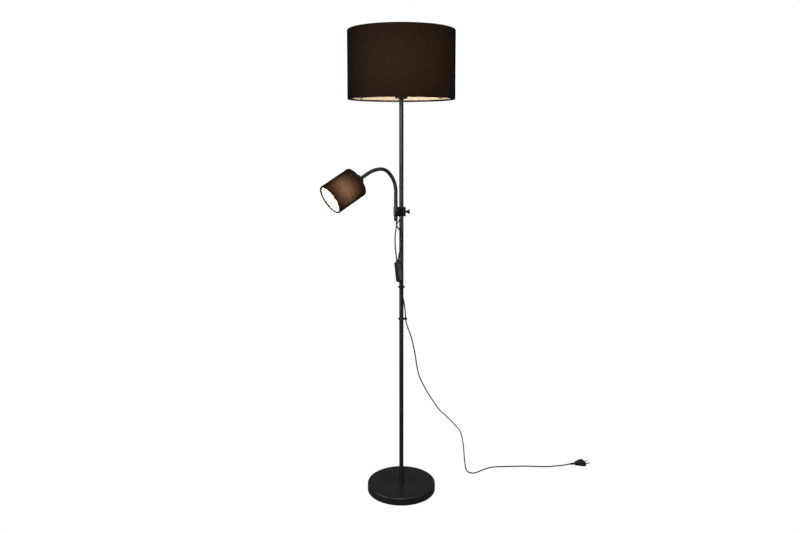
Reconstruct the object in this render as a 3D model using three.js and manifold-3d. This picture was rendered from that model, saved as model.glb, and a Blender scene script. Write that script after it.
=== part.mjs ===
// A two-light floor lamp: a drum shade on a screwed pole, and a reading light
// on a flexible neck held by a clamp. Millimetres, +Z up, base centred on Z.
import * as THREE from "three";
import { mergeVertices } from "three/addons/utils/BufferGeometryUtils.js";
import Module from "manifold-3d";

const wasm = await Module();
wasm.setup();

// ---- driving dimensions ----
const TOTAL_H = 1600;
const BASE_R = 119.5;
const BASE_H = 26.5;
const PAD_H = 1.6;
const POLE_R = 7.5;
const POLE_WALL = 1.0;
const POLE_SEAMS = [322, 622, 992];
const POLE_TOP = 1385;
const SHADE_R = 181;
const SHADE_BOTTOM = 1371.5;
const HOLDER_BOTTOM = 1375;
const HOLDER_SHOULDER = 1419;
const CLAMP_Z0 = 977.6;
const CLAMP_Z1 = 1008.5;
const SLEEVE_X = -19;
const SLEEVE_R = 6.5;
const SLEEVE_Z0 = 959.5;
const SLEEVE_Z1 = 1034;
const ARM_TURN = 212;
const NECK_R = 6.25;
const NECK_Z0 = 1061.46;
const NECK_ARCS = [
  [90, 48],
  [44.4, 42],
  [96, 30],
];
const NECK_JOINTS = [56, 89, 122, 155, 188];
const BALL_R = 7;
const HEAD_TILT = 120;
const HEAD_BACK = [153.2, 1100.5];
const HEAD_R = 51.5;
const HEAD_L = 112;
const CAP_R = 16.5;
const CAP_L = 21;
const CORD_R = 2.2;
const CLIP_1_Z = 730.8;
const CLIP_2_Z = 618.8;
const SWITCH_TOP = [-11.6, -23.8, 823];
const SWITCH_LEAN = 5.7;
const SWITCH_TURN = 30;
const SWITCH_L = 69;
const GAP = 0.3;

// ---- cord routes, from the piece they leave to the piece they reach ----
const CORD_MAIN = [
  [-10.6, -3.6, 960],
  [-12.6, -5.6, 956.6],
  [-15.2, -8.2, 951],
  [-17.6, -10, 941],
  [-19.4, -11.5, 928],
  [-20.8, -13.2, 912],
  [-21.4, -15, 895],
  [-21, -17.4, 878],
  [-19.8, -20.2, 862],
  [-18, -22.8, 847],
  [-16.4, -24.3, 836],
  [-15.9, -24.8, 828.6],
];
const CORD_READING = [
  [-17.6, -0.6, 959],
  [-17.3, -1.4, 953],
  [-15.8, -4, 945.5],
  [-12.2, -7.6, 938.5],
  [-7.4, -10.6, 932],
  [-2.2, -12.8, 925],
  [1.4, -14, 916],
  [2.6, -14.4, 905],
  [1.6, -14.7, 892],
  [-0.8, -15.1, 877],
  [-4.2, -15.6, 862],
  [-7.4, -16, 849],
  [-9.4, -16.4, 838],
  [-10.5, -16.6, 829],
];
const CORD_SUPPLY = [
  [-1.2, -17.6, 737.2],
  [-0.9, -16.2, 730.8],
  [-0.3, -15.5, 725],
  [1.6, -14.2, 714],
  [4.8, -12.4, 700],
  [11, -7.6, 664],
  [14.8, -2.2, 627],
  [15.2, -0.9, 618.8],
  [16, 1.4, 610],
  [18.6, 8.4, 596],
  [25.5, 22, 573],
  [36, 36, 539],
  [43, 52, 505],
  [49, 74, 470],
  [60, 125, 392],
  [70, 158, 350],
  [106, 255, 251],
  [130, 318, 194],
  [157, 397, 130],
  [184, 449, 87],
  [207, 482, 52],
  [222, 499, 31],
  [234, 506, 15],
  [243.5, 498, 6],
  [248.5, 480, 2.9],
  [252, 440, 2.4],
  [251.5, 350, 2.4],
  [245.4, 231, 2.4],
  [243.2, 142, 2.4],
  [247.5, 122, 2.4],
  [258, 111.5, 2.4],
  [273, 111, 2.4],
  [307, 136, 2.4],
  [328, 149.5, 2.4],
  [351, 158, 2.4],
  [397, 161.6, 2.4],
  [466, 164.5, 2.4],
  [556, 161.5, 2.4],
  [618, 167.4, 5.4],
  [641, 172.4, 7.1],
];
const PLUG_AT = [641, 172.4, 7.1];
const PLUG_TURN = 12.5;

// ---- finishes ----
const finish = (color, roughness, metalness) =>
  new THREE.MeshStandardMaterial({ color, roughness, metalness });
const blackMetal = finish(0x1c1c1d, 0.5, 0.6);
const cement = finish(0x8c8a85, 0.95, 0);
const zincSteel = finish(0x9a9c9e, 0.4, 0.9);
const brass = finish(0xb59a55, 0.35, 0.95);
const rubber = finish(0x2b2b2b, 0.9, 0);
const blackPlastic = finish(0x18181a, 0.45, 0);
const cordPlastic = finish(0x131314, 0.5, 0);
const blackCloth = finish(0x2e2622, 0.9, 0);
const liningCloth = finish(0xe3cdb7, 0.8, 0);
const paleLining = finish(0xf3efe2, 0.8, 0);
const milkGlass = finish(0xf6f1e6, 0.3, 0);

// ---- making solids ----
const rad = (deg) => (deg * Math.PI) / 180;
const at = (x, y, z) => new THREE.Vector3(x, y, z);

function solid(geometry) {
  const bare = geometry.index ? geometry.toNonIndexed() : geometry.clone();
  bare.deleteAttribute("normal");
  bare.deleteAttribute("uv");
  const merged = mergeVertices(bare, 1e-4);
  const all = merged.index.array;
  const kept = [];
  for (let i = 0; i < all.length; i += 3) {
    const [a, b, c] = [all[i], all[i + 1], all[i + 2]];
    if (a !== b && b !== c && a !== c) kept.push(a, b, c);
  }
  return new wasm.Manifold(
    new wasm.Mesh({
      numProp: 3,
      vertProperties: merged.attributes.position.array,
      triVerts: new Uint32Array(kept),
    }),
  );
}

function geometryOf(made) {
  const mesh = made.getMesh();
  const positions = new Float32Array(mesh.numVert * 3);
  for (let i = 0; i < mesh.numVert; i++) {
    for (let k = 0; k < 3; k++) {
      positions[i * 3 + k] = mesh.vertProperties[i * mesh.numProp + k];
    }
  }
  const geometry = new THREE.BufferGeometry();
  geometry.setAttribute("position", new THREE.BufferAttribute(positions, 3));
  geometry.setIndex(new THREE.BufferAttribute(new Uint32Array(mesh.triVerts), 1));
  geometry.computeVertexNormals();
  return geometry;
}

// A body turned about Z from [radius, height] points, listed up the outside
// and down the inside; it closes on itself or on the axis.
function turned(profile, sides = 48) {
  const onAxis = profile[0][0] === 0;
  const points = profile.map(([r, z]) => new THREE.Vector2(r, z));
  if (!onAxis) points.push(points[0].clone());
  const geometry = new THREE.LatheGeometry(points, sides);
  geometry.rotateX(Math.PI / 2);
  const made = solid(geometry);
  return made.volume() < 0 ? solid(flipped(geometry)) : made;
}

function flipped(geometry) {
  const flat = geometry.index ? geometry.toNonIndexed() : geometry.clone();
  const p = flat.attributes.position.array;
  for (let i = 0; i < p.length; i += 9) {
    for (let k = 0; k < 3; k++) {
      [p[i + 3 + k], p[i + 6 + k]] = [p[i + 6 + k], p[i + 3 + k]];
    }
  }
  return flat;
}

const ring = (r0, r1, z0, z1, sides = 48) =>
  turned([[r1, z0], [r1, z1], [r0, z1], [r0, z0]], sides);

const disc = (r, z0, z1, sides = 48) =>
  turned([[0, z0], [r, z0], [r, z1], [0, z1]], sides);

function box(x0, x1, y0, y1, z0, z1) {
  const geometry = new THREE.BoxGeometry(x1 - x0, y1 - y0, z1 - z0);
  geometry.translate((x0 + x1) / 2, (y0 + y1) / 2, (z0 + z1) / 2);
  return solid(geometry);
}

function ball(r, x, y, z, sides = 20) {
  const geometry = new THREE.SphereGeometry(r, sides, sides / 2);
  geometry.translate(x, y, z);
  return solid(geometry);
}

// A rod of radius r from one point to another.
function rod(from, to, r, sides = 12, rTo = r) {
  const along = to.clone().sub(from);
  const geometry = new THREE.CylinderGeometry(rTo, r, along.length(), sides);
  geometry.translate(0, along.length() / 2, 0);
  const turn = new THREE.Quaternion().setFromUnitVectors(
    at(0, 1, 0),
    along.clone().normalize(),
  );
  geometry.applyQuaternion(turn);
  geometry.translate(from.x, from.y, from.z);
  return solid(geometry);
}

function circle(r, sides) {
  const shape = new THREE.Shape();
  for (let i = 0; i <= sides; i++) {
    const a = ((i + 0.5) * 2 * Math.PI) / sides;
    if (i === 0) shape.moveTo(r * Math.cos(a), r * Math.sin(a));
    else if (i < sides) shape.lineTo(r * Math.cos(a), r * Math.sin(a));
  }
  shape.closePath();
  return shape;
}

function tube(curve, r, sides, steps) {
  const geometry = new THREE.ExtrudeGeometry(circle(r, sides), {
    extrudePath: curve,
    steps,
    bevelEnabled: false,
  });
  const made = solid(geometry);
  return made.volume() < 0 ? solid(flipped(geometry)) : made;
}

// A smooth route whose rings stand closer together where it bends.
class CordRoute extends THREE.Curve {
  constructor(points, longest, sharpest) {
    super();
    const places = points.map(([x, y, z]) => at(x, y, z));
    this.smooth = new THREE.CatmullRomCurve3(places, false, "centripetal");
    const fine = 3000;
    this.stops = [0];
    let last = this.smooth.getTangent(0);
    let run = 0;
    let before = this.smooth.getPoint(0);
    for (let i = 1; i < fine; i++) {
      const here = this.smooth.getPoint(i / fine);
      run += here.distanceTo(before);
      before = here;
      const tangent = this.smooth.getTangent(i / fine);
      if (run > longest || tangent.angleTo(last) > rad(sharpest)) {
        this.stops.push(i / fine);
        last = tangent;
        run = 0;
      }
    }
    this.stops.push(1);
    this.steps = this.stops.length - 1;
  }

  stop(share) {
    return this.stops[Math.round(share * this.steps)];
  }

  getPoint(share) {
    return this.smooth.getPoint(this.stop(share));
  }

  getTangentAt(share) {
    return this.smooth.getTangent(this.stop(share));
  }

  getSpacedPoints() {
    return this.stops.map((t) => this.smooth.getPoint(t));
  }
}

function cordTube(points, longest, sharpest) {
  const route = new CordRoute(points, longest, sharpest);
  return tube(route, CORD_R, 8, route.steps);
}

function outline(points, depth) {
  const shape = new THREE.Shape(points.map(([x, y]) => new THREE.Vector2(x, y)));
  const geometry = new THREE.ExtrudeGeometry(shape, { depth, bevelEnabled: false });
  return solid(geometry);
}

function roundedBox(x, y, z, r, steps = 3) {
  const shape = new THREE.Shape();
  const [hx, hy] = [x / 2 - r, y / 2 - r];
  shape.absarc(hx, hy, r, 0, Math.PI / 2);
  shape.absarc(-hx, hy, r, Math.PI / 2, Math.PI);
  shape.absarc(-hx, -hy, r, Math.PI, 1.5 * Math.PI);
  shape.absarc(hx, -hy, r, 1.5 * Math.PI, 2 * Math.PI);
  const geometry = new THREE.ExtrudeGeometry(shape, {
    depth: z,
    bevelEnabled: false,
    curveSegments: steps,
  });
  geometry.translate(0, 0, -z / 2);
  return solid(geometry);
}

const hexagon = (acrossFlats, z0, z1) => disc(acrossFlats / Math.sqrt(3), z0, z1, 6);

function add(parent, name, made, material) {
  const mesh = new THREE.Mesh(geometryOf(made), material.clone());
  mesh.name = name;
  parent.add(mesh);
}

// ---- the weighted foot ----
function makeBase(lamp) {
  const pad = disc(BASE_R - 5.5, 0, PAD_H, 40);
  const weight = turned(
    [
      [BASE_R - 1.7, PAD_H + GAP],
      [BASE_R - 1.7, BASE_H - 6],
      [BASE_R - 6, BASE_H - 1.5],
      [5.6, BASE_H - 1.5],
      [5.6, 12],
      [14, 12],
      [14, PAD_H + GAP],
    ],
    32,
  );
  const r = 4;
  const edge = [0, 30, 60, 90].map((a) => [
    BASE_R - r + r * Math.cos(rad(a)),
    BASE_H - r + r * Math.sin(rad(a)),
  ]);
  const cover = turned(
    [
      [BASE_R - 1, 0.8],
      [BASE_R, 1.4],
      ...edge,
      [5.6, BASE_H],
      [5.6, BASE_H - 1.1],
      [BASE_R - 5, BASE_H - 1.1],
      [BASE_R - 1.2, BASE_H - 5],
      [BASE_R - 1.2, 0.8],
    ],
    40,
  );
  const stud = ring(3.2, 5, 3, 60, 20);
  const nut = hexagon(17, 4, 10).subtract(disc(5.3, 3, 11, 20));
  const collar = turned(
    [
      [12.2, BASE_H + GAP],
      [12.2, BASE_H + 2.2],
      [11.4, BASE_H + 3],
      [POLE_R + GAP, BASE_H + 3],
      [POLE_R + GAP, BASE_H + GAP],
    ],
    32,
  );
  add(lamp, "base_pad", pad, rubber);
  add(lamp, "base_weight", weight, cement);
  add(lamp, "base_cover", cover, blackMetal);
  add(lamp, "stem_stud", stud, zincSteel);
  add(lamp, "stem_nut", nut, zincSteel);
  add(lamp, "foot_collar", collar, blackMetal);
}

// ---- the screwed pole ----
function makePole(lamp) {
  const ends = [BASE_H + GAP, ...POLE_SEAMS, POLE_TOP];
  const inner = POLE_R - POLE_WALL;
  for (let i = 0; i < 4; i++) {
    const z0 = ends[i] + (i ? GAP / 2 : 0);
    const z1 = ends[i + 1] - (i < 3 ? GAP / 2 : 0);
    let made = turned(
      [
        [POLE_R - 0.3, z0],
        [POLE_R, z0 + 0.3],
        [POLE_R, z1 - 0.3],
        [POLE_R - 0.3, z1],
        [inner, z1],
        [inner, z0],
      ],
      24,
    );
    if (i === 0) made = made.add(ring(5.3, inner + 0.2, z0 + 2, z0 + 28, 24));
    if (i === 2) made = made.subtract(rod(at(0, 0, 962), at(-9.1, -3.1, 962), 3.2, 12));
    add(lamp, `pole_${i + 1}`, made, blackMetal);
  }
  POLE_SEAMS.forEach((z, i) => {
    const made = ring(3.6, inner - GAP, z - 15, z + 15, 20);
    add(lamp, `pole_joiner_${i + 1}`, made, zincSteel);
  });
  const grommetAxis = at(-0.947, -0.322, 0);
  const grommet = rod(
    grommetAxis.clone().multiplyScalar(4.6).setZ(962),
    grommetAxis.clone().multiplyScalar(9.4).setZ(962),
    2.85,
    16,
  );
  add(lamp, "pole_grommet", grommet, rubber);
}

// ---- the cord clips on the pole ----
function makeClips(lamp) {
  const band = (z) => ring(POLE_R + GAP, POLE_R + 1.9, z - 3.8, z + 3.8, 24);
  const hook = (x, y, z, open) => {
    const made = ring(CORD_R + 1.2, CORD_R + 2.8, z - 3.8, z + 3.8, 16).translate([x, y, 0]);
    return made.subtract(open);
  };
  const [x1, y1] = [-0.9, -16.2];
  const bore1 = rod(at(-1.4, -18.4, 742), at(-0.3, -14.6, 719.5), CORD_R + 1.3, 14);
  const pole1 = disc(POLE_R + GAP, CLIP_1_Z - 9, CLIP_1_Z + 9, 24);
  const mouth1 = box(x1 - 5, x1 - 1, y1 - 5, y1 - 1.4, CLIP_1_Z - 5, CLIP_1_Z + 5);
  const clip1 = band(CLIP_1_Z)
    .add(box(-11, 11.6, -1.5, 1.5, CLIP_1_Z - 3, CLIP_1_Z + 3))
    .add(box(-1.8, 1, y1 + 3, -8, CLIP_1_Z - 3.8, CLIP_1_Z + 3.8))
    .add(hook(x1, y1, CLIP_1_Z, mouth1))
    .subtract(pole1)
    .subtract(bore1);
  const [x2, y2] = [15.2, -0.9];
  const bore2 = rod(at(14.4, -3.2, 634), at(16.2, 2, 604), CORD_R + 0.8, 14);
  const pole2 = disc(POLE_R + GAP, CLIP_2_Z - 9, CLIP_2_Z + 9, 24);
  const mouth2 = box(x2 - 1.4, x2 + 1.4, y2 - 6, y2 - 1.4, CLIP_2_Z - 5, CLIP_2_Z + 5);
  const clip2 = band(CLIP_2_Z)
    .add(box(7, x2 - 3, -2.4, 0.6, CLIP_2_Z - 3.8, CLIP_2_Z + 3.8))
    .add(box(-10.9, -7, -1.5, 1.5, CLIP_2_Z - 3, CLIP_2_Z + 3))
    .add(hook(x2, y2, CLIP_2_Z, mouth2))
    .subtract(pole2)
    .subtract(bore2);
  add(lamp, "cord_clip_1", clip1, blackPlastic);
  add(lamp, "cord_clip_2", clip2, blackPlastic);
}

// ---- the main lamp holder, bulb and shade ----
function makeMainLight(lamp) {
  const holder = turned(
    [
      [POLE_R + GAP, HOLDER_BOTTOM],
      [19.6, HOLDER_BOTTOM],
      [21, HOLDER_BOTTOM + 1.6],
      [21, HOLDER_SHOULDER],
      [19.2, HOLDER_SHOULDER + 0.6],
      [19.2, HOLDER_SHOULDER + 15.6],
      [15.2, HOLDER_SHOULDER + 15.6],
      [15.2, HOLDER_SHOULDER - 20],
      [POLE_R + GAP, HOLDER_SHOULDER - 20],
    ],
    28,
  );
  const z0 = HOLDER_SHOULDER - 18;
  const thread = turned(
    [
      [2.2, z0],
      [14.8, z0],
      [14.8, z0 + 30],
      [14, z0 + 30],
      [14, z0 + 1.2],
      [2.2, z0 + 1.2],
    ],
    20,
  );
  const cap = turned(
    [
      [0, z0 + 2],
      [4.5, z0 + 2],
      [6, z0 + 4],
      [13.4, z0 + 9],
      [13.4, z0 + 34],
      [0, z0 + 34],
    ],
    20,
  );
  const zb = z0 + 34 + GAP;
  const glass = turned(
    [
      [0, zb],
      [14.2, zb],
      [16.5, zb + 10],
      [23, zb + 24],
      [28.6, zb + 38],
      [30, zb + 48],
      [28.4, zb + 59],
      [23.6, zb + 68.5],
      [15.6, zb + 75.5],
      [6, zb + 78.6],
      [0, zb + 79],
    ],
    20,
  );
  const nutRing = turned(
    [
      [19.6, HOLDER_SHOULDER + 4.6],
      [27, HOLDER_SHOULDER + 4.6],
      [27, HOLDER_SHOULDER + 6],
      [22.4, HOLDER_SHOULDER + 6.6],
      [22.4, HOLDER_SHOULDER + 14],
      [19.6, HOLDER_SHOULDER + 14],
    ],
    24,
  );
  add(lamp, "holder_body", holder, blackPlastic);
  add(lamp, "holder_thread", thread, brass);
  add(lamp, "main_bulb_cap", cap, brass);
  add(lamp, "main_bulb_glass", glass, milkGlass);
  add(lamp, "shade_nut_ring", nutRing, blackPlastic);
}

function wireRing(radius, z, r, sides) {
  const points = [];
  for (let i = 0; i < 6; i++) {
    const a = rad(i * 60 + 30);
    points.push([radius + r * Math.cos(a), z + r * Math.sin(a)]);
  }
  return turned(points, sides);
}

function makeShade(lamp) {
  const fabric = ring(SHADE_R - 0.8, SHADE_R, SHADE_BOTTOM, TOTAL_H, 52);
  const lining = ring(SHADE_R - 1.8, SHADE_R - 1.1, SHADE_BOTTOM + 1, TOTAL_H - 1, 52);
  const wireR = SHADE_R - 4.2;
  const low = wireRing(wireR, SHADE_BOTTOM + 3, 1.8, 36);
  const high = wireRing(wireR, TOTAL_H - 3, 1.8, 36);
  let spider = ring(19.6, 28, HOLDER_SHOULDER + 1.2, HOLDER_SHOULDER + 3.2, 32);
  for (const turn of [30, 150, 270]) {
    const [c, s] = [Math.cos(rad(turn)), Math.sin(rad(turn))];
    const hub = at(25 * c, 25 * s, HOLDER_SHOULDER + 2.2);
    const knee = at(60 * c, 60 * s, HOLDER_SHOULDER + 2.2);
    const rim = at((wireR - 4.4) * c, (wireR - 4.4) * s, SHADE_BOTTOM + 3);
    spider = spider.add(rod(hub, knee, 1.9, 6));
    spider = spider.add(rod(knee, rim, 1.9, 6));
    spider = spider.add(ball(2, knee.x, knee.y, knee.z, 6));
  }
  add(lamp, "shade_fabric", fabric, blackCloth);
  add(lamp, "shade_lining", lining, liningCloth);
  add(lamp, "shade_wire_bottom", low, zincSteel);
  add(lamp, "shade_wire_top", high, zincSteel);
  add(lamp, "shade_spider", spider, zincSteel);
}

// ---- the clamp that holds the reading light on the pole ----
function makeClamp(lamp) {
  const mid = (CLAMP_Z0 + CLAMP_Z1) / 2;
  const h = CLAMP_Z1 - CLAMP_Z0;
  const body = roundedBox(27, 23, h, 2).translate([-4, 0, mid])
    .add(disc(8.2, CLAMP_Z0, CLAMP_Z1, 20).translate([SLEEVE_X, 0, 0]))
    .add(box(SLEEVE_X, -12, -7.4, 7.4, CLAMP_Z0, CLAMP_Z1))
    .add(roundedBox(12, 15, h, 2).translate([9.1, 0, mid]));
  const block = body
    .subtract(disc(9.45, CLAMP_Z0 - 1, CLAMP_Z1 + 1, 24))
    .subtract(disc(SLEEVE_R + GAP, CLAMP_Z0 - 1, CLAMP_Z1 + 1, 24).translate([SLEEVE_X, 0, 0]))
    .subtract(rod(at(5, 0, mid), at(20, 0, mid), 3.1, 16));
  const bush = ring(POLE_R + GAP, 9.05, CLAMP_Z0 + 0.5, CLAMP_Z1 - 0.5, 24);
  add(lamp, "clamp_block", block, blackPlastic);
  add(lamp, "clamp_bush", bush, blackPlastic);
  const wing = outline(
    [
      [15.6, -2.2],
      [20, -2.6],
      [27.6, -7.6],
      [29, -6.6],
      [28.6, -2.6],
      [24.4, 0],
      [28.6, 2.6],
      [29, 6.6],
      [27.6, 7.6],
      [20, 2.6],
      [15.6, 2.2],
    ],
    3.2,
  )
    .translate([0, 0, -1.6])
    .rotate([90, 0, 0])
    .translate([0, 0, mid]);
  const screw = rod(at(9.5, 0, mid), at(16, 0, mid), 2.8, 16)
    .add(rod(at(15.5, 0, mid), at(21, 0, mid), 4.4, 20, 3.4))
    .add(wing);
  add(lamp, "wing_screw", screw, blackPlastic);
}

// ---- the flexible neck ----
class NeckCurve extends THREE.Curve {
  constructor(from, to) {
    super();
    this.from = from;
    this.to = to;
  }

  getPoint(share) {
    const t = this.from + (this.to - this.from) * share;
    return neckPoint(t);
  }
}

const NECK_UP = NECK_Z0 - SLEEVE_Z1 - GAP;
const NECK_END = 216.7;

// The point at a distance along the neck, in the arm's own plane.
function neckPoint(t) {
  let left = t - NECK_UP;
  if (left <= 0) return at(0, 0, SLEEVE_Z1 + GAP + t);
  let x = 0;
  let z = NECK_Z0;
  let heading = 0;
  for (const [radius, degrees] of NECK_ARCS) {
    const turn = Math.min(left / radius, rad(degrees));
    x += radius * (Math.cos(heading) - Math.cos(heading + turn));
    z += radius * (Math.sin(heading + turn) - Math.sin(heading));
    heading += turn;
    left -= radius * turn;
    if (left <= 0) break;
  }
  left = Math.max(left, 0);
  return at(x + left * Math.sin(heading), 0, z + left * Math.cos(heading));
}

function neckPiece(from, to, hollowStart, roundEnd) {
  let made = tube(new NeckCurve(from, to), NECK_R, 12, Math.ceil((to - from) / 7));
  const start = neckPoint(from);
  const end = neckPoint(to);
  if (roundEnd) {
    const ahead = end.clone().sub(neckPoint(to - 0.5)).normalize();
    const tip = rod(
      end.clone().addScaledVector(ahead, -0.4),
      end.clone().addScaledVector(ahead, 9),
      NECK_R,
      12,
    ).intersect(ball(BALL_R, end.x, end.y, end.z, 12));
    made = made.add(tip);
  }
  if (hollowStart) {
    made = made.subtract(ball(BALL_R + 0.5, start.x, start.y, start.z, 12));
  }
  return made;
}

function makeArm(lamp) {
  const arm = new THREE.Group();
  arm.position.set(SLEEVE_X, 0, 0);
  arm.rotation.z = rad(ARM_TURN);
  lamp.add(arm);
  const z = SLEEVE_Z0;
  const sleeve = turned(
    [
      [2.7, z + 0.6],
      [3.4, z],
      [4.6, z + 1.3],
      [6, z + 4],
      [SLEEVE_R, z + 6.6],
      [SLEEVE_R, SLEEVE_Z1 - 1],
      [SLEEVE_R - 0.6, SLEEVE_Z1],
      [2.7, SLEEVE_Z1],
    ],
    24,
  );
  add(arm, "neck_sleeve", sleeve, blackMetal);
  const stops = [0, ...NECK_JOINTS, NECK_END];
  for (let i = 0; i < 6; i++) {
    const made = neckPiece(stops[i], stops[i + 1], i > 0, i < 5);
    add(arm, `neck_${i + 1}`, made, blackPlastic);
  }
  const head = new THREE.Group();
  head.position.set(HEAD_BACK[0], 0, HEAD_BACK[1]);
  head.rotation.y = rad(HEAD_TILT);
  arm.add(head);
  makeHead(head);
}

// ---- the reading light's head, along its own axis towards the mouth ----
function makeHead(head) {
  const cap = turned(
    [
      [0, -CAP_L],
      [12.6, -CAP_L],
      [15.3, -CAP_L + 1.4],
      [CAP_R, -CAP_L + 4.4],
      [CAP_R, 0.6],
      [14.6, 1.2],
      [14.6, -CAP_L + 6],
      [0, -CAP_L + 6],
    ],
    32,
  );
  const holder = turned(
    [
      [3, -CAP_L + 6.3],
      [14.2, -CAP_L + 6.3],
      [14.2, 1.4],
      [13.6, 2],
      [13.6, 30],
      [9.8, 30],
      [9.8, 3],
      [3, 3],
    ],
    22,
  );
  const thread = turned(
    [
      [1.8, 3.4],
      [9.4, 3.4],
      [9.4, 26],
      [8.7, 26],
      [8.7, 4.4],
      [1.8, 4.4],
    ],
    18,
  );
  const bulbCap = turned(
    [
      [0, 5],
      [2.8, 5],
      [3.6, 7],
      [8.2, 10],
      [8.2, 32],
      [0, 32],
    ],
    24,
  );
  const glass = turned(
    [
      [0, 32.3],
      [10, 32.3],
      [12.6, 37],
      [18.6, 44],
      [22, 52],
      [22.5, 58],
      [21, 66],
      [16.6, 73.4],
      [9.4, 78.4],
      [0, 80],
    ],
    20,
  );
  const wireR = HEAD_R - 3.2;
  let spider = ring(14, 19, 2.4, 4, 28);
  for (const turn of [90, 210, 330]) {
    const [c, s] = [Math.cos(rad(turn)), Math.sin(rad(turn))];
    const hub = at(17 * c, 17 * s, 2.9);
    const rim = at((wireR - 3.1) * c, (wireR - 3.1) * s, 2.9);
    spider = spider.add(rod(hub, rim, 1.3, 6));
  }
  const nutRing = turned(
    [
      [14, 4.4],
      [18.4, 4.4],
      [18.4, 5.4],
      [16, 6],
      [16, 12],
      [14, 12],
    ],
    20,
  );
  add(head, "head_cap", cap, blackPlastic);
  add(head, "head_holder", holder, blackPlastic);
  add(head, "head_thread", thread, brass);
  add(head, "head_bulb_cap", bulbCap, brass);
  add(head, "head_bulb_glass", glass, milkGlass);
  add(head, "head_nut_ring", nutRing, blackPlastic);
  add(head, "head_spider", spider, zincSteel);
  add(head, "head_wire_back", wireRing(wireR, 2.8, 1.4, 26), zincSteel);
  add(head, "head_wire_front", wireRing(wireR, HEAD_L - 2.8, 1.4, 26), zincSteel);
  add(head, "head_lining", ring(HEAD_R - 1.7, HEAD_R - 1.1, 0.8, HEAD_L - 0.8, 36), paleLining);
  add(head, "head_shade", ring(HEAD_R - 0.8, HEAD_R, 0, HEAD_L, 36), blackCloth);
}

// ---- the double switch in the cord ----
function makeSwitch(lamp) {
  const group = new THREE.Group();
  group.position.set(...SWITCH_TOP);
  group.rotation.set(0, rad(-SWITCH_LEAN), rad(SWITCH_TURN), "YZX");
  lamp.add(group);
  const half = SWITCH_L / 2;
  const profile = (x, y) => {
    const made = roundedBox(SWITCH_L, y, x, 7, 4).rotate([0, 90, 0]);
    return made.translate([0, 0, -half]);
  };
  const split = box(-20, 1, -30, 30, -90, 20);
  const mainHole = [-3.79, 1.03];
  const readingHole = [4.99, 5.44];
  const lowerHole = [3.06, 1.7];
  const entries = rod(at(...mainHole, -8), at(...mainHole, 5), 3.4, 12, 2.9)
    .add(rod(at(...readingHole, -8), at(...readingHole, 5), 3.4, 12, 2.9));
  const outer = profile(19, 24).add(entries);
  const windows = box(-20, -4, -5.4, 5.4, -half - 15.4, -half - 0.6)
    .add(box(-20, -4, -5.4, 5.4, -half + 0.6, -half + 15.4));
  const hollow = box(-7.4, 7.4, -9.6, 9.6, -SWITCH_L + 7, -7);
  const bores = rod(at(...mainHole, -9), at(...mainHole, 9), CORD_R + GAP, 10)
    .add(rod(at(...readingHole, -9), at(...readingHole, 9), CORD_R + GAP, 10))
    .add(rod(at(...lowerHole, -SWITCH_L + 8), at(...lowerHole, -SWITCH_L - 3), 3.8, 14));
  const whole = outer.subtract(hollow);
  const front = whole.intersect(split).subtract(windows).subtract(bores);
  const back = whole.subtract(box(-20, 1 + GAP, -30, 30, -90, 20))
    .subtract(bores)
    .subtract(rod(at(5, 0, -half), at(14, 0, -half), 2.4, 12));
  add(group, "switch_shell_front", front, blackPlastic);
  add(group, "switch_shell_back", back, blackPlastic);
  const screw = rod(at(5, 0, -half), at(9.2, 0, -half), 2, 12)
    .subtract(box(8.4, 10, -3, 3, -half - 0.4, -half + 0.4));
  add(group, "switch_screw", screw, zincSteel);
  const rocker = (z) => {
    const key = new THREE.Shape();
    key.moveTo(-4.6, -6.6);
    key.lineTo(-11.9, -6.9);
    key.lineTo(-10.6, 0);
    key.lineTo(-11.9, 6.9);
    key.lineTo(-4.6, 6.6);
    key.closePath();
    const geometry = new THREE.ExtrudeGeometry(key, { depth: 9.6, bevelEnabled: false });
    geometry.translate(0, 0, -4.8);
    geometry.rotateX(Math.PI / 2);
    geometry.translate(0, 0, z);
    return solid(geometry);
  };
  add(group, "rocker_main", rocker(-half + 8), blackPlastic);
  add(group, "rocker_reading", rocker(-half - 8), blackPlastic);
  const flareEnd = at(4.73, 4.2, -SWITCH_L - 16.4);
  const relief = rod(at(...lowerHole, -SWITCH_L + 6.5), at(...lowerHole, -SWITCH_L - 2.4), 3.4, 14)
    .add(rod(at(...lowerHole, -SWITCH_L - 1.8), flareEnd, 4.2, 14, 2.8));
  add(group, "switch_relief", relief, rubber);
}

// ---- cords and the mains plug ----
function makeCords(lamp) {
  add(lamp, "cord_main_lamp", cordTube(CORD_MAIN, 12, 14), cordPlastic);
  add(lamp, "cord_reading_lamp", cordTube(CORD_READING, 12, 14), cordPlastic);
  add(lamp, "supply_cord", cordTube(CORD_SUPPLY, 42, 19), cordPlastic);
}

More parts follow.
